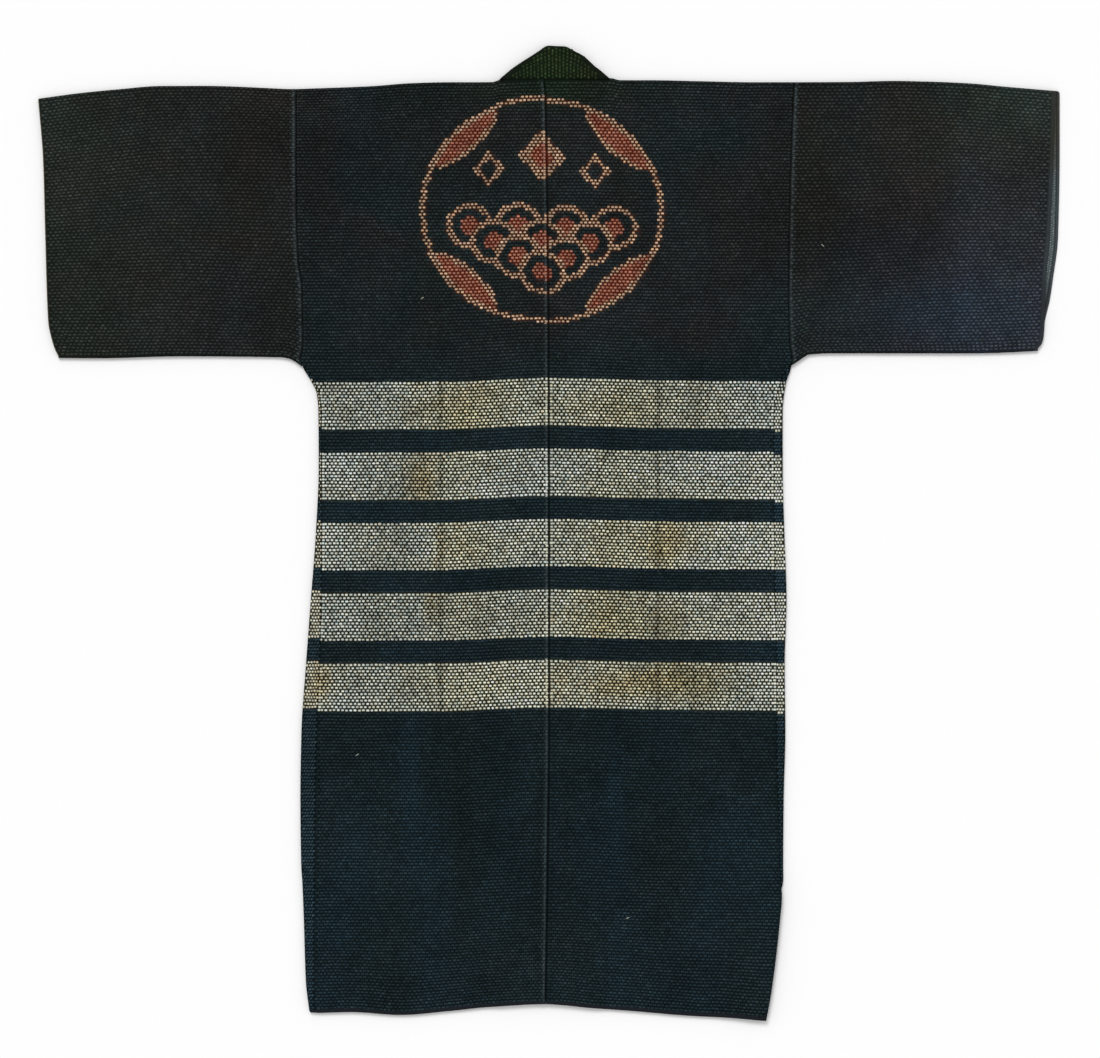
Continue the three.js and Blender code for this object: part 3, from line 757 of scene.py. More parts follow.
def make_mesh(name, points, faces, colours, half=None):
    """A triangle mesh from points in working millimetres, with a colour on every point: its dye, and on
    stitches and seams also painted highlight and shade. Its flat map for baking is each corner's place seen
    from above. With half, it tells which half of the map a point's faces take, 0 the left and 1 the right."""
    mesh = bpy.data.meshes.new(name)
    placed = (points - ORIGIN) * MM
    mesh.vertices.add(len(placed))
    mesh.vertices.foreach_set("co", placed.astype(np.float32).ravel())
    mesh.loops.add(faces.size)
    mesh.loops.foreach_set("vertex_index", faces.astype(np.int32).ravel())
    mesh.polygons.add(len(faces))
    mesh.polygons.foreach_set("loop_start", np.arange(0, faces.size, 3, dtype=np.int32))
    mesh.polygons.foreach_set("use_smooth", np.ones(len(faces), bool))
    dye = mesh.color_attributes.new("dye", "FLOAT_COLOR", "POINT")
    dye.data.foreach_set("color", np.c_[clamp01(colours), np.ones(len(colours))].astype(np.float32).ravel())
    low, high = points[:, :2].min(0), points[:, :2].max(0)
    bake = (0.01 + 0.98 * clamp01((points[:, :2] - low) / (high - low)))[faces]
    if half is not None:
        bake[..., 0] = (bake[..., 0] + half[faces[:, 0]][:, None]) / 2
    layer = mesh.uv_layers.new(name="OFBake")
    layer.data.foreach_set("uv", bake.astype(np.float32).ravel())
    mesh.update()
    mesh.validate()
    piece = bpy.data.objects.new(name, mesh)
    bpy.context.scene.collection.objects.link(piece)
    return piece


def wall(name, outer, inner, colours, layer, has_cell=None, loop=False):
    """A closed wall through two grids of points, as the solid that it stands for is built."""
    rows, columns = outer.shape[:2]
    last = rows if loop else rows - 1
    cells = np.ones((last, columns - 1), bool) if has_cell is None else has_cell
    r, c = np.nonzero(cells)
    nr = (r + 1) % rows

    def at(place, side):
        return place[0] * columns + place[1] + side * rows * columns

    def quads(a, b, d, e):
        return np.concatenate([np.stack([a, b, d], 1), np.stack([a, d, e], 1)])

    corners = ((r, c), (r, c + 1), (nr, c + 1), (nr, c))
    faces = [quads(*(at(corner, 0) for corner in corners))]
    faces.append(quads(*(at(corner, 1) for corner in corners[::-1])))
    padded = np.zeros((last + 2, columns + 1), bool)
    padded[1:-1, 1:-1] = cells
    if loop:
        padded[0], padded[-1] = padded[-2], padded[1]
    beside = (padded[:-2, 1:-1], padded[1:-1, 2:], padded[2:, 1:-1], padded[1:-1, :-2])
    for is_cell, start, end in zip(beside, corners, corners[1:] + corners[:1]):
        k = ~is_cell[r, c]
        start, end = (start[0][k], start[1][k]), (end[0][k], end[1][k])
        faces.append(quads(at(end, 0), at(start, 0), at(start, 1), at(end, 1)))
    faces = np.concatenate(faces)
    points = np.concatenate([outer.reshape(-1, 3), inner.reshape(-1, 3)])
    a, b, d = (points[faces[:, k]] for k in range(3))
    if np.einsum("ij,ij->i", a, np.cross(b, d)).sum() < 0:
        faces = faces[:, ::-1]
    used, places = np.unique(faces, return_inverse=True)
    both = np.concatenate([colours.reshape(-1, 3)] * 2)[used]
    layer = np.broadcast_to(layer, outer.shape[:2]).astype(float)
    half = np.concatenate([layer.ravel()] * 2)[used]
    return make_mesh(name, points[used], places.reshape(faces.shape), both, half)


# A stitch: its rim has six corners, and its ridge the two points 6 and 7 above them
DOME_BASE = np.array([[-1, 0], [-0.55, 1], [0.55, 1], [1, 0], [0.55, -1], [-0.55, -1]])
DOME_SIDES = [[0, 6, 1], [1, 6, 7], [1, 7, 2], [2, 7, 3], [3, 7, 4], [4, 7, 6], [4, 6, 5], [5, 6, 0]]
DOME_FLOOR = [[0, 1, 5], [1, 4, 5], [1, 2, 4], [2, 3, 4]]
DOME_FACES = np.array(DOME_SIDES + DOME_FLOOR)
# Painted shading of every stitch: the rim takes this part of the stitch's colour and the rest from the ground
# as painted shade, and the ridge is lightened by this factor as a painted highlight
RIM_PAINTED_SHADE_PART = 0.12
RIDGE_PAINTED_HIGHLIGHT = 1.15


def frames(surface, first, second, step=0.6, sign=1.0):
    """Points of a surface with its directions along the second coordinate, along the first, and its normal.
    The sign is -1 where the two coordinates run the other way round the outside of the cloth."""
    along = surface(first, second + step) - surface(first, second - step)
    up = surface(first + step, second) - surface(first - step, second)
    along /= np.maximum(np.linalg.norm(along, axis=-1, keepdims=True), 1e-9)
    normal = np.cross(along, up) * sign
    normal /= np.maximum(np.linalg.norm(normal, axis=-1, keepdims=True), 1e-9)
    return surface(first, second), along, np.cross(normal, along), normal


def panel_frames(name, s, x):
    return frames(lambda a, b: panel_point(name, a, b)[0], s, x)


def sleeve_frames(name, s, place):
    """Frames on a sleeve. The place is a length from the cuff."""
    return frames(lambda a, b: sleeve_point(name, b / SLEEVE_LONG, a)[0], s, place, sign=-OUT[name])


def strip_frames(name, row, t, step):
    return frames(lambda a, b: gusset_point(name, a, b)[0], row, t, step, OUT[name])


def flat_frames(x, y, z, turn):
    """Frames on a level place, turned by an angle."""
    along = stack(np.cos(turn), np.sin(turn), 0)
    across = stack(-np.sin(turn), np.cos(turn), 0)
    return stack(x, y, z), along, across, np.tile([0, 0, 1.0], (len(x), 1))


def slanted(spots, slant):
    point, along, across, normal = spots
    turned = along * np.cos(slant) + across * np.sin(slant)
    return point, turned, across * np.cos(slant) - along * np.sin(slant), normal


# Materials

def settle(node, **values):
    """Sets inputs of a node. An underline in a name stands for a space."""
    for name, value in values.items():
        node.inputs[name.replace("_", " ")].default_value = value


def cloth(name, scale, strength):
    """Matte dyed cotton. The dye, with the painted highlight and shade of stitches, seams and grooves, comes
    with the mesh, and noise gives it its yarn.
    """
    material = bpy.data.materials.new(name)
    material.use_nodes = True
    nodes, links = material.node_tree.nodes, material.node_tree.links
    shader = nodes["Principled BSDF"]
    dye = nodes.new("ShaderNodeAttribute")
    dye.attribute_name = "dye"
    place = nodes.new("ShaderNodeTexCoord")
    yarn = nodes.new("ShaderNodeTexNoise")
    settle(yarn, Scale=scale, Detail=3.0)
    spread = nodes.new("ShaderNodeMapRange")
    settle(spread, From_Min=0.3, From_Max=0.7, To_Min=0.8, To_Max=1.2)
    tint = nodes.new("ShaderNodeVectorMath")
    tint.operation = "SCALE"
    bump = nodes.new("ShaderNodeBump")
    settle(bump, Strength=strength, Distance=0.0004)
    links.new(place.outputs["Object"], yarn.inputs["Vector"])
    links.new(yarn.outputs["Fac"], spread.inputs["Value"])
    links.new(dye.outputs["Color"], tint.inputs[0])
    links.new(spread.outputs["Result"], tint.inputs["Scale"])
    links.new(tint.outputs["Vector"], shader.inputs["Base Color"])
    links.new(yarn.outputs["Fac"], bump.inputs["Height"])
    links.new(bump.outputs["Normal"], shader.inputs["Normal"])
    settle(shader, Roughness=0.92, Specular_IOR_Level=0.02)
    return material


CLOTH = cloth("dyed_cotton", 900.0, 0.35)
THREAD = cloth("sewing_cotton", 1400.0, 0.3)


def stitch_piece(name, slot, spots, size, colour, ground):
    """Sewn stitches of one dye and place as one closed dome each, sunk a little into the cloth. They carry
    a painted highlight along their ridge and painted shade at the rim, where their colour is close to the
    cloth's ground."""
    point, along, across, normal = spots
    count = len(point)
    long, wide, high = (np.broadcast_to(value, count)[:, None] for value in size)
    corners = []
    for a, b in DOME_BASE:
        corners.append(point + along * long * a / 2 + across * wide * b / 2 - normal * STITCH_SUNK)
    for a in (-0.42, 0.42):
        corners.append(point + along * long * a / 2 + normal * high)
    points = np.stack(corners, axis=1).reshape(-1, 3)
    faces = (np.arange(count)[:, None, None] * 8 + DOME_FACES[None]).reshape(-1, 3)
    a, b, d = (points[faces[0, k]] for k in range(3))
    if np.dot(np.cross(b - a, d - a), normal[0]) < 0:
        faces = faces[:, ::-1]
    # Painted shade at the rim, painted highlight on the ridge
    shaded_rims = blend(ground, colour, RIM_PAINTED_SHADE_PART)
    dye = np.stack([shaded_rims] * 6 + [colour * RIDGE_PAINTED_HIGHLIGHT] * 2, axis=1).reshape(-1, 3)
    piece = make_mesh(name, points, faces, dye)
    piece.data.materials.append(THREAD)
    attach(piece, "root")
    return piece


# Rows and columns of the shells

HEM_INSETS = [0, 0.6, 1.6, 3.4, 4.8, 6.5]
SEAM_INSETS = [9, 5.6, 4, 2, 0.8, 0]
# More columns where the right cuff's facing changes its dye
FACING_INSETS = [2.5, 8.5, 11.0, 13.9, 14.1]
# How many columns each stretch of a panel has from side to centre. The neck is where the tenth ends
COLUMN_COUNTS = [1, 3, 22, 1, 1, 1, 1, 8, 6, 2, 1, 10, 1, 1, 1, 1, 1]
NECK_KNOT = 10
BACK_STEP = 6.0
SHOULDER_STEP = 4.0
FRONT_STEP = 12.0
FOLD_PARTS = 6
HEM_BAND = 3.2


def spread_between(knots, step):
    """The knots with extra values between them, so that no step is longer than asked for."""
    values = [knots[0]]
    for start, end in zip(knots, knots[1:]):
        count = max(1, math.ceil(abs(end - start) / step))
        values += [start + (end - start) * part / count for part in range(1, count + 1)]
    return np.array(values)


def body_rows(step, shoulder_step):
    knots = [HEM_Y + inset for inset in HEM_INSETS] + [COVER_FULL, COVER_BARE]
    for top, bottom in reversed(STRIPES):
        knots += [bottom - 0.3, bottom + 0.3, top - 0.3, top + 0.3]
    rows = spread_between(knots + [-342, -338, -334, -292], step)
    upper = spread_between([-292, -12, -8, 0], shoulder_step)
    return np.concatenate([rows, upper[1:]])


def body_columns(name, rows, layer):
    """X of every column on the given rows: side to neck over the shoulder, then on to the centre."""
    out = OUT[name]
    side, neck, centre = panel_edges(name, rows, layer)
    neck = neck - out * NECK_LAP * smooth((rows + 12) / 12) * (layer == "back")
    knots = [side, side - out * 5, side - out * 22]
    knots += [np.full(len(rows), CREASE_X[name]) + out * beside for beside in (7, 3, 0, -3, -7)]
    knots += [neck + out * COLLAR_FAR, neck + out * COLLAR_NEAR, neck, neck - out * 2]
    knots += [centre + out * inset for inset in SEAM_INSETS]
    columns = [side]
    for start, end, count in zip(knots, knots[1:], COLUMN_COUNTS):
        columns += [mix(start, end, part / count) for part in range(1, count + 1)]
    return np.stack(columns, axis=1)


def hem_band(colours, row):
    """The smooth band of the hem's rolled edge."""
    rolled = clamp01(1 - (row - HEM_Y - HEM_BAND) / 1.2)
    return blend(colours, linear(EDGE_DYE) * 0.7, rolled * 0.7)


def body_shell(name):
    back, front = body_rows(BACK_STEP, SHOULDER_STEP), body_rows(FRONT_STEP, FRONT_STEP)[::-1]
    fold = np.linspace(0, FOLD_LENGTH, FOLD_PARTS + 1)[1:-1]
    s = np.concatenate([back, fold, FOLD_LENGTH - front])[:, None]
    rows = np.concatenate([back, fold * 0, front])
    x = np.where(s >= FOLD_LENGTH, body_columns(name, rows, "front"), body_columns(name, rows, "back"))
    outer, inner = panel_point(name, s, x)
    last_back = len(back) - 1
    neck_columns = 1 + sum(COLUMN_COUNTS[:NECK_KNOT])
    for points in (outer, inner):
        points[last_back, neck_columns:, 1] = NECKLINE_Y
    cells = np.ones((len(s) - 1, x.shape[1] - 1), bool)
    cells[last_back:, neck_columns - 1 :] = False
    y, row = outer[..., 1], np.broadcast_to(rows[:, None], x.shape)
    on_front = s > FOLD_LENGTH / 2
    colours = hem_band(body_dye(x, y, row, "ground", on_front), row)
    if name == "left":
        centre = panel_edges(name, rows)[2]
        # Painted highlight on the raised welt left of the centre seam
        welt = clamp01(1 - np.abs(np.abs(x - centre[:, None]) - 3) / 3.4) * (s <= 0)
        pale = in_stripe(row, x) | (device(x, row) > 0)
        uneven = clamp01(0.45 + 0.7 * noise(x, y, 11, 41) + 0.3 * smooth((-y - 500) / 300))
        colours = blend(colours, linear(WELT_PAINTED_HIGHLIGHT) * 0.36, welt * ~pale * 0.5 * uneven)
    return wall(f"{name}_body_cloth", outer, inner, colours, on_front, cells)


def sleeve_shell(name):
    fold = np.linspace(0, FOLD_LENGTH, FOLD_PARTS + 1)[1:-1]
    past_top, past_front = ARMHOLE + FOLD_LENGTH, 2 * ARMHOLE + FOLD_LENGTH
    back, front = (spread_between([0, ARMHOLE], step) for step in (BACK_STEP, FRONT_STEP))
    s = np.concatenate([back, ARMHOLE + fold, past_top + front, past_front + fold])[:, None]
    insets = sorted(HEM_INSETS + (FACING_INSETS if name == "right" else []))
    parts = [inset / SLEEVE_LONG for inset in insets] + [1 - inset / SLEEVE_LONG for inset in SEAM_INSETS]
    parts = spread_between(parts, BACK_STEP / SLEEVE_LONG)
    outer, inner = sleeve_point(name, parts[None, :], s)
    x, y = outer[..., 0], outer[..., 1]
    on_front = (s > ARMHOLE + FOLD_LENGTH / 2) & (s < past_front + FOLD_LENGTH / 2)
    from_cuff = parts * SLEEVE_LONG * np.ones_like(x)
    rim = clamp01(1 - (from_cuff - 0.8) / 0.8)
    rim_dye = linear(CUFF_BROWN if name == "left" else EDGE_DYE)
    colours = blend(sleeve_dye(x, y, "ground"), rim_dye, rim * 0.8)
    # Painted highlight on the raised welt by the armhole seam
    welt = clamp01(1 - np.abs(SLEEVE_LONG - from_cuff - 3.2) / 3.2) * ~on_front
    uneven = clamp01(0.5 + 0.7 * noise(x, y, 11, 43))
    colours = blend(colours, linear(WELT_PAINTED_HIGHLIGHT) * 0.5, welt * 0.45 * uneven)
    if name == "right":
        bare = clamp01(1.2 - from_cuff / CUFF_BARE) * ~on_front
        colours = blend(colours, facing_dye(y, 9 + 0 * from_cuff), 0.35 * smooth(bare * 2))
        facing = on_front & (from_cuff < FACING_WIDE)
        colours = np.where(facing[..., None], facing_dye(y, from_cuff), colours)
    return wall(f"{name}_sleeve_cloth", outer, inner, colours, on_front, loop=True)


def gusset_shell(name):
    rows = body_rows(BACK_STEP, SHOULDER_STEP)
    rows = rows[rows <= STRIP_TOP + 0.01]
    turns = np.concatenate([[0, 0.34, 0.67], np.linspace(1, 2, FOLD_PARTS + 1), [2.25, 2.5, 2.75, 3]])
    outer, inner = gusset_point(name, rows[:, None], turns[None, :])
    s = np.broadcast_to(rows[:, None], outer.shape[:2])
    colours = striped_dye(outer[..., 0], outer[..., 1], s, "ground", STRIP_SHIFT[name])
    return wall(f"{name}_side_strip_cloth", outer, inner, hem_band(colours, s), turns > 1.5)


def collar_shell(stations):
    parts = np.array([0, 0.12, 0.25, 0.4, 0.55, 0.7, 0.82, 0.88, 0.93, 0.965, 0.985, 1.0])
    outer, inner = collar_points(stations, parts)
    colours = dark_dye(outer[..., 0], outer[..., 1], COLLAR, COLLAR, "ground")
    kind = stations[:, 4:5]
    on_front = (kind == LYING) | (kind != STANDING) & (stations[:, 5:] > math.pi / 2)
    return wall("collar_cloth", outer, inner, colours, on_front)


# Stitches of the side that shows

# Below this row the dark stitches beside a side strip get painted shade of the groove there
SIDE_GROOVE_SHADE_TOP = -420.0
LATTICE = {"body": (5.0, 3.84), "sleeve": (5.6, 4.15), "strip": (3.4, 3.84), "collar": (4.0, 4.3)}
SEAM_SIZE = (3.6, 1.9, 0.3)
SEAM_PITCH = 2.5
DARK_SIZE = (5.7, 3.5, 0.42)
PALE_SIZE = (4.75, 3.85, 0.55)
HEM_SIZE = (2.6, 1.3, 0.3)
DASH_SIZE = (3.3, 1.5, 0.3)
HEM_LINE = 4.4
rng = np.random.default_rng(17)


def jitter(count, size):
    return rng.normal(0, size, count)


def staggered(first, pitch, row, limit):
    """Places of the stitches in a row. Every other row starts half a pitch further on."""
    places = first + pitch * (np.arange(70) + 0.5 * (row % 2))
    return places[places < limit]


def lattice(rows):
    """All stitches of rows that are given as their level and the places on it."""
    return [np.concatenate(part) for part in zip(*((np.full(len(at), level), at) for level, at in rows))]


def stitch_dye(colour, spread=0.16):
    """Every stitch has its own lightness and a slight shift towards blue or brown."""
    light = np.exp(jitter(len(colour), spread))
    shift = jitter(len(colour), 0.035)
    return colour * light[:, None] * (1 + shift[:, None] * np.array([1.0, 0.0, -1.0]))


def sizes(size, count, spreads=(0.08, 0.08, 0.08)):
    """Length, width and height of every stitch, each a little uneven."""
    return [value * (1 + jitter(count, spread)) for value, spread in zip(size, spreads)]


def size_by_dye(pale):
    return [np.where(pale, *pair) for pair in zip(PALE_SIZE, DARK_SIZE)]


def flatter(size, on_fold):
    """Stitches on a fold are narrower and lower."""
    return size[0], size[1] * np.where(on_fold, 0.75, 1), size[2] * np.where(on_fold, 0.55, 1)


def body_lattice(name):
    """Row and X of every stitch on the back of one panel."""
    pitch, drop = LATTICE["body"]
    first = 2.4 if name == "left" else 3.2
    rows = []
    for k in range(int((-HEM_Y - HEM_BARE + 2) / drop) + 1):
        row = HEM_Y + HEM_BARE + k * drop
        side, neck, centre = panel_edges(name, row)
        wide = abs(side - centre)
        places = staggered(first, pitch, k, wide - 1.4)
        if wide - places[-1] > 3.4:
            places = np.append(places, wide - 1.6)
        if k % 2:
            places = np.append(first + 0.1, places)
        if row > -1:
            places = places[places > abs(neck - centre) + 1]
        rows.append((row, centre + OUT[name] * places))
    return lattice(rows)


def body_stitches(name):
    row, x = body_lattice(name)
    s = row + jitter(len(row), 0.15) + 0.4 * noise(x, row, 26, 91)
    x = x + jitter(len(row), 0.2)
    spots = panel_frames(name, s, x)
    y = spots[0][:, 1]
    pale = in_stripe(row, x) | (device(x, row) > 0)
    colour = stitch_dye(body_dye(x, y, row, "stitch"))
    side, _, centre = panel_edges(name, s)
    from_side, from_seam = np.abs(side - x), np.abs(x - centre)
    long, wide, high = sizes(size_by_dye(pale), len(s), (0.08, 0.06, 0.1))
    long = np.minimum(long, 0.6 + 2 * np.minimum(from_seam, from_side))
    if name == "left":
        # Painted highlight on the stitches of the raised welt beside the centre seam
        near = clamp01(1 - from_seam / 7)
        long = long * (1 - 0.3 * near)
        colour = blend(colour, linear(WELT_PAINTED_HIGHLIGHT), near * ~pale * 0.3)
    else:
        # Painted shade on the stitches in the sunken groove beside the centre seam
        colour = colour * (1 - 0.35 * clamp01(1 - from_seam / 9))[:, None]
    # Painted shade in the groove between the panel and its side strip
    shade_beside_strip = clamp01(1.3 - from_side / 3.2) * (row < SIDE_GROOVE_SHADE_TOP) * ~pale
    colour = colour * (1 - 0.5 * shade_beside_strip)[:, None]
    ground = body_dye(x, y, row, "ground")
    size = flatter((long, wide, high), row > -1)
    made = []
    for word, chosen in (("dark", ~pale), ("pale", pale)):
        picked = [[value[chosen] for value in values] for values in (spots, size)]
        piece_name = f"{name}_body_{word}_stitches"
        made.append(stitch_piece(piece_name, "panel_cloth", *picked, colour[chosen], ground[chosen]))
    return made


def sleeve_stitches(name):
    pitch, drop = LATTICE["sleeve"]
    bare = CUFF_BARE + 2 if name == "right" else 4.4
    rows = []
    for k in range(int((ARMHOLE - 2) / drop) + 2):
        rows.append((2.0 + k * drop, SLEEVE_LONG - staggered(4.0, pitch, k, SLEEVE_LONG - bare)))
    s, place = lattice(rows)
    s = s + jitter(len(s), 0.2)
    place = place + jitter(len(s), 0.3)
    spots = sleeve_frames(name, s, place)
    x, y = spots[0][:, 0], spots[0][:, 1]
    colour = stitch_dye(sleeve_dye(x, y, "stitch"), 0.15)
    # Painted highlight on the stitches near the raised armhole welt
    near = clamp01(1 - (SLEEVE_LONG - place) / 9)
    colour = blend(colour, linear(WELT_PAINTED_HIGHLIGHT), near * 0.6)
    size = flatter(sizes(DARK_SIZE, len(s)), s > ARMHOLE - 1.5)
    size = (size[0] * 0.98, *size[1:])
    ground = sleeve_dye(x, y, "ground")
    return stitch_piece(f"{name}_sleeve_stitches", "sleeve_cloth", spots, size, colour, ground)


def gusset_stitches(name):
    """A few small stitches in every row of a side strip, up to its fold."""
    pitch, drop = LATTICE["strip"]
    out, shift = OUT[name], STRIP_SHIFT[name]
    rows, rooms = [], []
    for k in range(int((STRIP_TOP - HEM_Y - HEM_BARE) / drop)):
        row = HEM_Y + HEM_BARE + k * drop
        back, bend, _ = gusset_spans(name, row)
        shown = (fold_edge(name, row) - side_edge(name, row)) * out
        if shown < FOLD_REACH + SEAM_GAP:
            continue
        span = max((bend - back) * out, 0.4)
        places = staggered(1.2, pitch, k, shown - 1.2)
        if len(places) == 0:
            places = np.array([shown / 2])
        round_fold = 1 + 0.4 * (places - span) / FOLD_REACH
        rows.append((row, np.where(places < span, places / span, round_fold)))
        rooms.append(0.3 + 2 * (shown - places))
    row, t = lattice(rows)
    narrow = clamp01((fold_edge(name, row) - side_edge(name, row)) * out / 10)
    s = row + jitter(len(row), 0.16)
    spots = strip_frames(name, s, t, 0.06)
    x, y = spots[0][:, 0], spots[0][:, 1]
    colour = stitch_dye(striped_dye(x, y, row, "stitch", shift))
    pale = in_stripe(row, x, shift)
    long, wide, high = sizes(size_by_dye(pale), len(s))
    long = np.minimum(long * 0.74 * (0.45 + 0.55 * narrow), np.concatenate(rooms))
    wide = wide * (0.75 + 0.25 * narrow)
    spots = slanted(spots, np.where(pale, 0.0, 0.45)[:, None])
    worn = [[1.0, 0.9, 0.8]] if name == "left" else [[1.0, 0.98, 0.95]]
    colour = colour * np.where(pale[:, None], worn, [[1.5, 1.6, 1.7]])
    ground = striped_dye(x, y, row, "ground", shift)
    piece_name = f"{name}_side_strip_stitches"
    return stitch_piece(piece_name, "side_strip_cloth", spots, (long, wide, high), colour, ground)


def nape_spot(x, y):
    """Parts along the neck and across the collar of a place behind the neck."""
    left, right = NECK_CREASE["left"], NECK_CREASE["right"]
    base = left["seam"][1]
    along_part = clamp01((x + 55) / 127)
    for _ in range(12):
        tall = mix(left["free"][1], right["free"][1], along_part) + COLLAR_CROWN * crown(along_part) - base
        part = (y - base) / tall
        start, end = (mix(crease["seam"][0], crease["free"][0], part) for crease in (left, right))
        along_part = clamp01((x - start) / (end - start))
    return along_part, part


def nape_point(y, x):
    along_part, part = nape_spot(x, y)
    z = nape_z(x, y, COLLAR_SAG * crown(along_part), part)
    shift = nape_swell(along_part, part)
    return stack(x + shift[0], y + shift[1], z)


def collar_stitches():
    """Rows of stitches that run up the collar behind the neck."""
    pitch, drop = LATTICE["collar"]
    columns = np.arange(-54, 73, drop)
    x, y = lattice([(column, staggered(5.2, pitch, k, 60)) for k, column in enumerate(columns)])
    a, b = nape_spot(x, y)
    tip_a, tip_b = nape_spot(x, y + 2.8)
    inside = (a > 0.006 + 0.03 * b) & (a < 0.994 - 0.03 * b) & (b > 0.04) & (b < 0.945)
    inside = inside & (tip_a > 0.025) & (tip_a < 0.975) & (tip_b < 0.985)
    x = x[inside] + jitter(inside.sum(), 0.15)
    y = y[inside] + jitter(inside.sum(), 0.25)
    point, along, across, normal = frames(nape_point, y, x)
    places = (point[:, 0], point[:, 1], COLLAR, COLLAR)
    colour = stitch_dye(dark_dye(*places, "stitch"), 0.2)
    long, wide, high = sizes(DARK_SIZE, len(point))
    spots, size = (point, across, -along, normal), (long * 0.82, wide, high)
    return stitch_piece("collar_stitches", "collar_cloth", spots, size, colour, dark_dye(*places, "ground"))


def seam_stitches(name, spots, colour, ground):
    """Small close stitches on the raised edge of a seam, with a painted highlight that is stronger in places.
    """
    count = len(colour)
    y = spots[0][:, 1]
    # Painted highlight of the raised welt, uneven along the seam
    pale = clamp01(0.24 + 0.4 * noise(0 * y, y, 24, 95) + jitter(count, 0.22))
    colour = blend(colour, linear(WELT_PAINTED_HIGHLIGHT), pale)
    spots = slanted(spots, 0.3 + jitter(count, 0.1)[:, None])
    size = (*sizes(SEAM_SIZE, count, (0.12, 0.1)), SEAM_SIZE[2])
    return stitch_piece(name, "panel_cloth", spots, size, colour, ground)


def centre_seam_stitches():
    row = np.arange(HEM_Y + HEM_BARE, -3, SEAM_PITCH)
    s = row + jitter(len(row), 0.2)
    x = read(CENTRE_SEAM, s) - 3.0 + jitter(len(s), 0.2)
    spots = panel_frames("left", s, x)
    y = spots[0][:, 1]
    lined = (device(x, row) > 0) | in_stripe(row, x)
    # Dark seam stitches are made lighter, part of the welt's painted highlight
    colour = body_dye(x, y, row, "stitch") * 0.9 * np.where(lined, 1, 1.3)[:, None]
    return seam_stitches("centre_seam_stitches", spots, colour, body_dye(x, y, row, "ground"))


def armhole_stitches(name):
    s = np.arange(3.0, ARMHOLE - 1, SEAM_PITCH)
    s = s + jitter(len(s), 0.2)
    spots = sleeve_frames(name, s, SLEEVE_LONG - 3.2 + jitter(len(s), 0.2))
    x, y = spots[0][:, 0], spots[0][:, 1]
    # Armhole seam stitches are made lighter, part of the welt's painted highlight
    colour, ground = sleeve_dye(x, y, "stitch") * 1.1, sleeve_dye(x, y, "ground")
    return seam_stitches(f"{name}_armhole_stitches", spots, colour, ground)


def hem_stitches(name):
    """A line of small stitches that holds the hem's rolled edge."""
    side, _, centre = panel_edges(name, HEM_Y + HEM_LINE)
    x = centre + OUT[name] * np.arange(2.0, abs(side - centre) - 1.5, 3.1)
    x = x + jitter(len(x), 0.2)
    spots = panel_frames(name, HEM_Y + HEM_LINE + jitter(len(x), 0.12), x)
    colour = stitch_dye(np.tile(linear(HEM_THREAD), (len(x), 1)), 0.3)
    ground = np.tile(linear(EDGE_DYE) * 0.6, (len(x), 1))
    return stitch_piece(f"{name}_hem_stitches", "panel_cloth", spots, HEM_SIZE, colour, ground)


def cuff_stitches(name):
    """Two rows of small slanting stitches on the facing inside the cuff, strongest in its middle part."""
    cuff = SLEEVE[name]["cuff"]
    y = np.arange(-262.0, -62.0, 1.5)
    inset = np.tile([6.0, 8.8], len(y) // 2)
    y = y + jitter(len(y), 0.25)
    inset = inset + jitter(len(y), 0.3)
    reach = np.abs(read(cuff, y, "front")) - np.abs(read(cuff, y, "back"))
    shown = inset < reach + 1
    y, inset = y[shown], inset[shown]
    x = OUT[name] * (np.abs(read(cuff, y, "front")) - inset)
    spots = flat_frames(x, y, PLY * read(LOWER_ROLLED, inset), 0.5 + jitter(len(y), 0.15))
    strong = smooth((-y - 80) / 60) * smooth((y + 262) / 40)
    facing = facing_dye(y, inset + 3)
    colour = stitch_dye(blend(facing, linear(PALE_DASH), 0.3 + 0.7 * strong), 0.22)
    return stitch_piece(f"{name}_cuff_stitches", "sleeve_cloth", spots, DASH_SIZE, colour, facing)


# Stitches of the underside, flatter and further apart

UNDER_LATTICE = (8.4, 6.0)
UNDER_SIZE = (8.0, 4.8, 0.34)
UNDER_MOST = 0.38


def under_piece(name, slot, spots, dye):
    """Stitches of the underside. The dye is a function of its part, "stitch" or "ground"."""
    colour = stitch_dye(dye("stitch"))
    long, wide, high = sizes(UNDER_SIZE, len(colour))
    size = (long, wide, np.minimum(high, UNDER_MOST))
    return stitch_piece(name, slot, spots, size, colour, dye("ground"))


def under_body_stitches(name):
    pitch, drop = UNDER_LATTICE
    rows = []
    for k in range(int((-HEM_Y - HEM_BARE - 3) / drop)):
        row = HEM_Y + HEM_BARE + 1 + k * drop
        side, neck, _ = panel_edges(name, row, "front")
        rows.append((row, neck + OUT[name] * staggered(3.0, pitch, k, abs(side - neck) - 2.5)))
    row, x = lattice(rows)
    spots = panel_frames(name, FOLD_LENGTH - row + jitter(len(row), 0.2), x)
    y = spots[0][:, 1]
    piece_name = f"{name}_front_stitches"
    return under_piece(piece_name, "panel_cloth", spots, lambda part: body_dye(x, y, row, part, True))


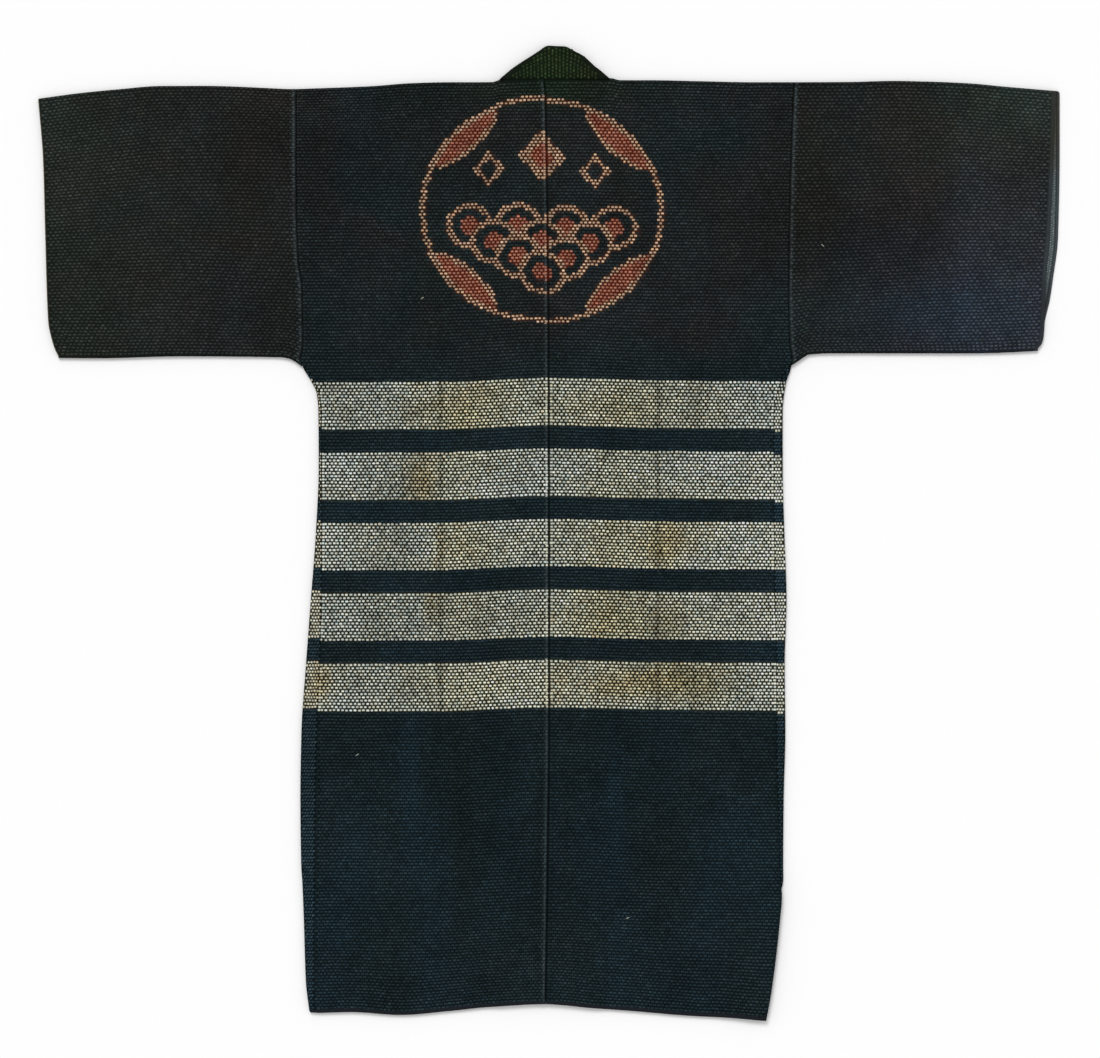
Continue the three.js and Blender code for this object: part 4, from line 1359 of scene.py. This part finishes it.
def under_sleeve_stitches(name):
    pitch, drop = UNDER_LATTICE
    rows = []
    for k in range(int((ARMHOLE - 6) / drop)):
        rows.append((ARMHOLE + FOLD_LENGTH + 3.0 + k * drop, staggered(8.0, pitch, k, SLEEVE_LONG - 3)))
    spots = sleeve_frames(name, *lattice(rows))
    x, y = spots[0][:, 0], spots[0][:, 1]
    piece_name = f"{name}_sleeve_front_stitches"
    return under_piece(piece_name, "sleeve_cloth", spots, lambda part: sleeve_dye(x, y, part))


def under_strip_stitches(name):
    pitch, drop = UNDER_LATTICE
    rows = []
    for k in range(int((STRIP_TOP - HEM_Y - 16) / drop)):
        row = HEM_Y + HEM_BARE + 1 + k * drop
        _, bend, front = gusset_spans(name, row)
        wide = abs(front - bend)
        rows.append((row, 2 + staggered(2.5, pitch, k, wide - 3) / wide))
    row, t = lattice(rows)
    spots = strip_frames(name, row, t, 0.04)
    x, y = spots[0][:, 0], spots[0][:, 1]

    def dye(part):
        return striped_dye(x, y, row, part, STRIP_SHIFT[name])

    return under_piece(f"{name}_side_strip_front_stitches", "side_strip_cloth", spots, dye)


def under_collar_stitches(stations):
    """Stitches that run down both legs of the collar."""
    pitch = UNDER_LATTICE[0]
    spots, directions = [], []
    flat = np.nonzero(stations[:, 4] == LYING)[0]
    for leg in (flat[flat < len(stations) / 2], flat[flat >= len(stations) / 2]):
        seam, free = stations[leg, 0:2], stations[leg, 2:4]
        steps = np.linalg.norm(np.diff((seam + free) / 2, axis=0), axis=1)
        length = np.concatenate([[0], np.cumsum(steps)])
        for column, part in enumerate(np.arange(0.1, 0.9, 0.12)):
            line = mix(seam, free, part)
            places = np.arange(8.0 + 0.5 * pitch * (column % 2), length[-1] - 10, pitch)
            spread = [[np.interp(at, length, line[:, k]) for k in (0, 1)] for at in (places, places + 2)]
            here, after = np.swapaxes(spread, 1, 2)
            spots.append(here)
            directions.append(after - here)
    spots, directions = np.concatenate(spots), np.concatenate(directions)
    directions /= np.linalg.norm(directions, axis=1, keepdims=True)
    count = len(spots)
    point = np.c_[spots, np.full(count, STITCH_PROUD)]
    along = np.c_[directions, np.zeros(count)]
    normal = np.tile([0, 0, -1.0], (count, 1))
    spots = (point, along, np.cross(normal, along), normal)

    def dye(part):
        return dark_dye(point[:, 0], point[:, 1], COLLAR, COLLAR, part)

    return under_piece("collar_front_stitches", "collar_cloth", spots, dye)


# Lint caught on the cloth, as x, y and direction in degrees

LINT = table(
    "x y turn",
    [-228, -806.4, 35], [-150, -259, 30], [168, -742, 100], [96, -1002, 20], [330, -196, 140],
)
LINT_DYE = (176, 178, 166)
LINT_SIZE = (5.6, 1.0, 0.5)
LINT_LIFT = 0.4


def lint():
    """A few short fibres that lie on the back, each placed as listed."""
    x, y = LINT["x"], LINT["y"]
    z = UPPER_Z + PLY + relief(x, y) - GROUND_SUNK
    for k in np.nonzero(np.abs(x) < 290)[0]:
        name = "left" if x[k] < 0 else "right"
        z[k] = panel_point(name, y[k : k + 1], x[k : k + 1])[0][0, 2]
    spots = flat_frames(x, y, z + LINT_LIFT, np.radians(LINT["turn"]))
    dye = np.tile(linear(LINT_DYE), (len(x), 1))
    return stitch_piece("lint", "panel_cloth", spots, LINT_SIZE, dye, dye * 0.7)


# The coat

def dress(shell, node):
    """The shell stands for its solid, and its stitches go with it."""
    shell.data.materials.append(CLOTH)
    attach(shell, "root")
    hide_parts(node)


seams = {"left": [centre_seam_stitches(), lint()], "right": []}
cuffs = {"left": [], "right": [cuff_stitches("right")]}
for side in ("left", "right"):
    on_body = body_stitches(side) + [hem_stitches(side), under_body_stitches(side)] + seams[side]
    dress(body_shell(side), f"body_{side}")
    on_sleeve = [sleeve_stitches(side), armhole_stitches(side), under_sleeve_stitches(side)] + cuffs[side]
    dress(sleeve_shell(side), f"sleeve_{side}")
    on_strip = [gusset_stitches(side), under_strip_stitches(side)]
    dress(gusset_shell(side), f"gusset_{side}")
stations = collar_stations()
on_collar = [collar_stitches(), under_collar_stitches(stations)]
dress(collar_shell(stations), "collar")


# Floor and light

FLOOR_TONE = 0.95
FLOOR_HALF = 6.0
FLOOR_Z = -0.0002

floor_mesh = bpy.data.meshes.new("floor")
corners = [(x * FLOOR_HALF, y * FLOOR_HALF, FLOOR_Z) for x, y in ((-1, -1), (1, -1), (1, 1), (-1, 1))]
floor_mesh.from_pydata(corners, [], [(0, 1, 2, 3)])
floor = bpy.data.objects.new("floor", floor_mesh)
bpy.context.scene.collection.objects.link(floor)
paper = bpy.data.materials.new("paper")
paper.use_nodes = True
paper_tone = (FLOOR_TONE, FLOOR_TONE, FLOOR_TONE, 1)
settle(paper.node_tree.nodes["Principled BSDF"], Base_Color=paper_tone, Roughness=1.0, Specular_IOR_Level=0.0)
floor.data.materials.append(paper)

world = bpy.data.worlds.new("room")
world.use_nodes = True
settle(world.node_tree.nodes["Background"], Color=(1, 1, 1, 1), Strength=0.7)
bpy.context.scene.world = world

sun = bpy.data.lights.new("lamp", "SUN")
sun.energy = 1.42
sun.angle = math.radians(24)
lamp = bpy.data.objects.new("lamp", sun)
lamp.rotation_euler = (math.radians(-38), math.radians(-14), 0)
bpy.context.scene.collection.objects.link(lamp)

bpy.context.scene.view_settings.view_transform = "Standard"
bpy.context.scene.view_settings.look = "None"
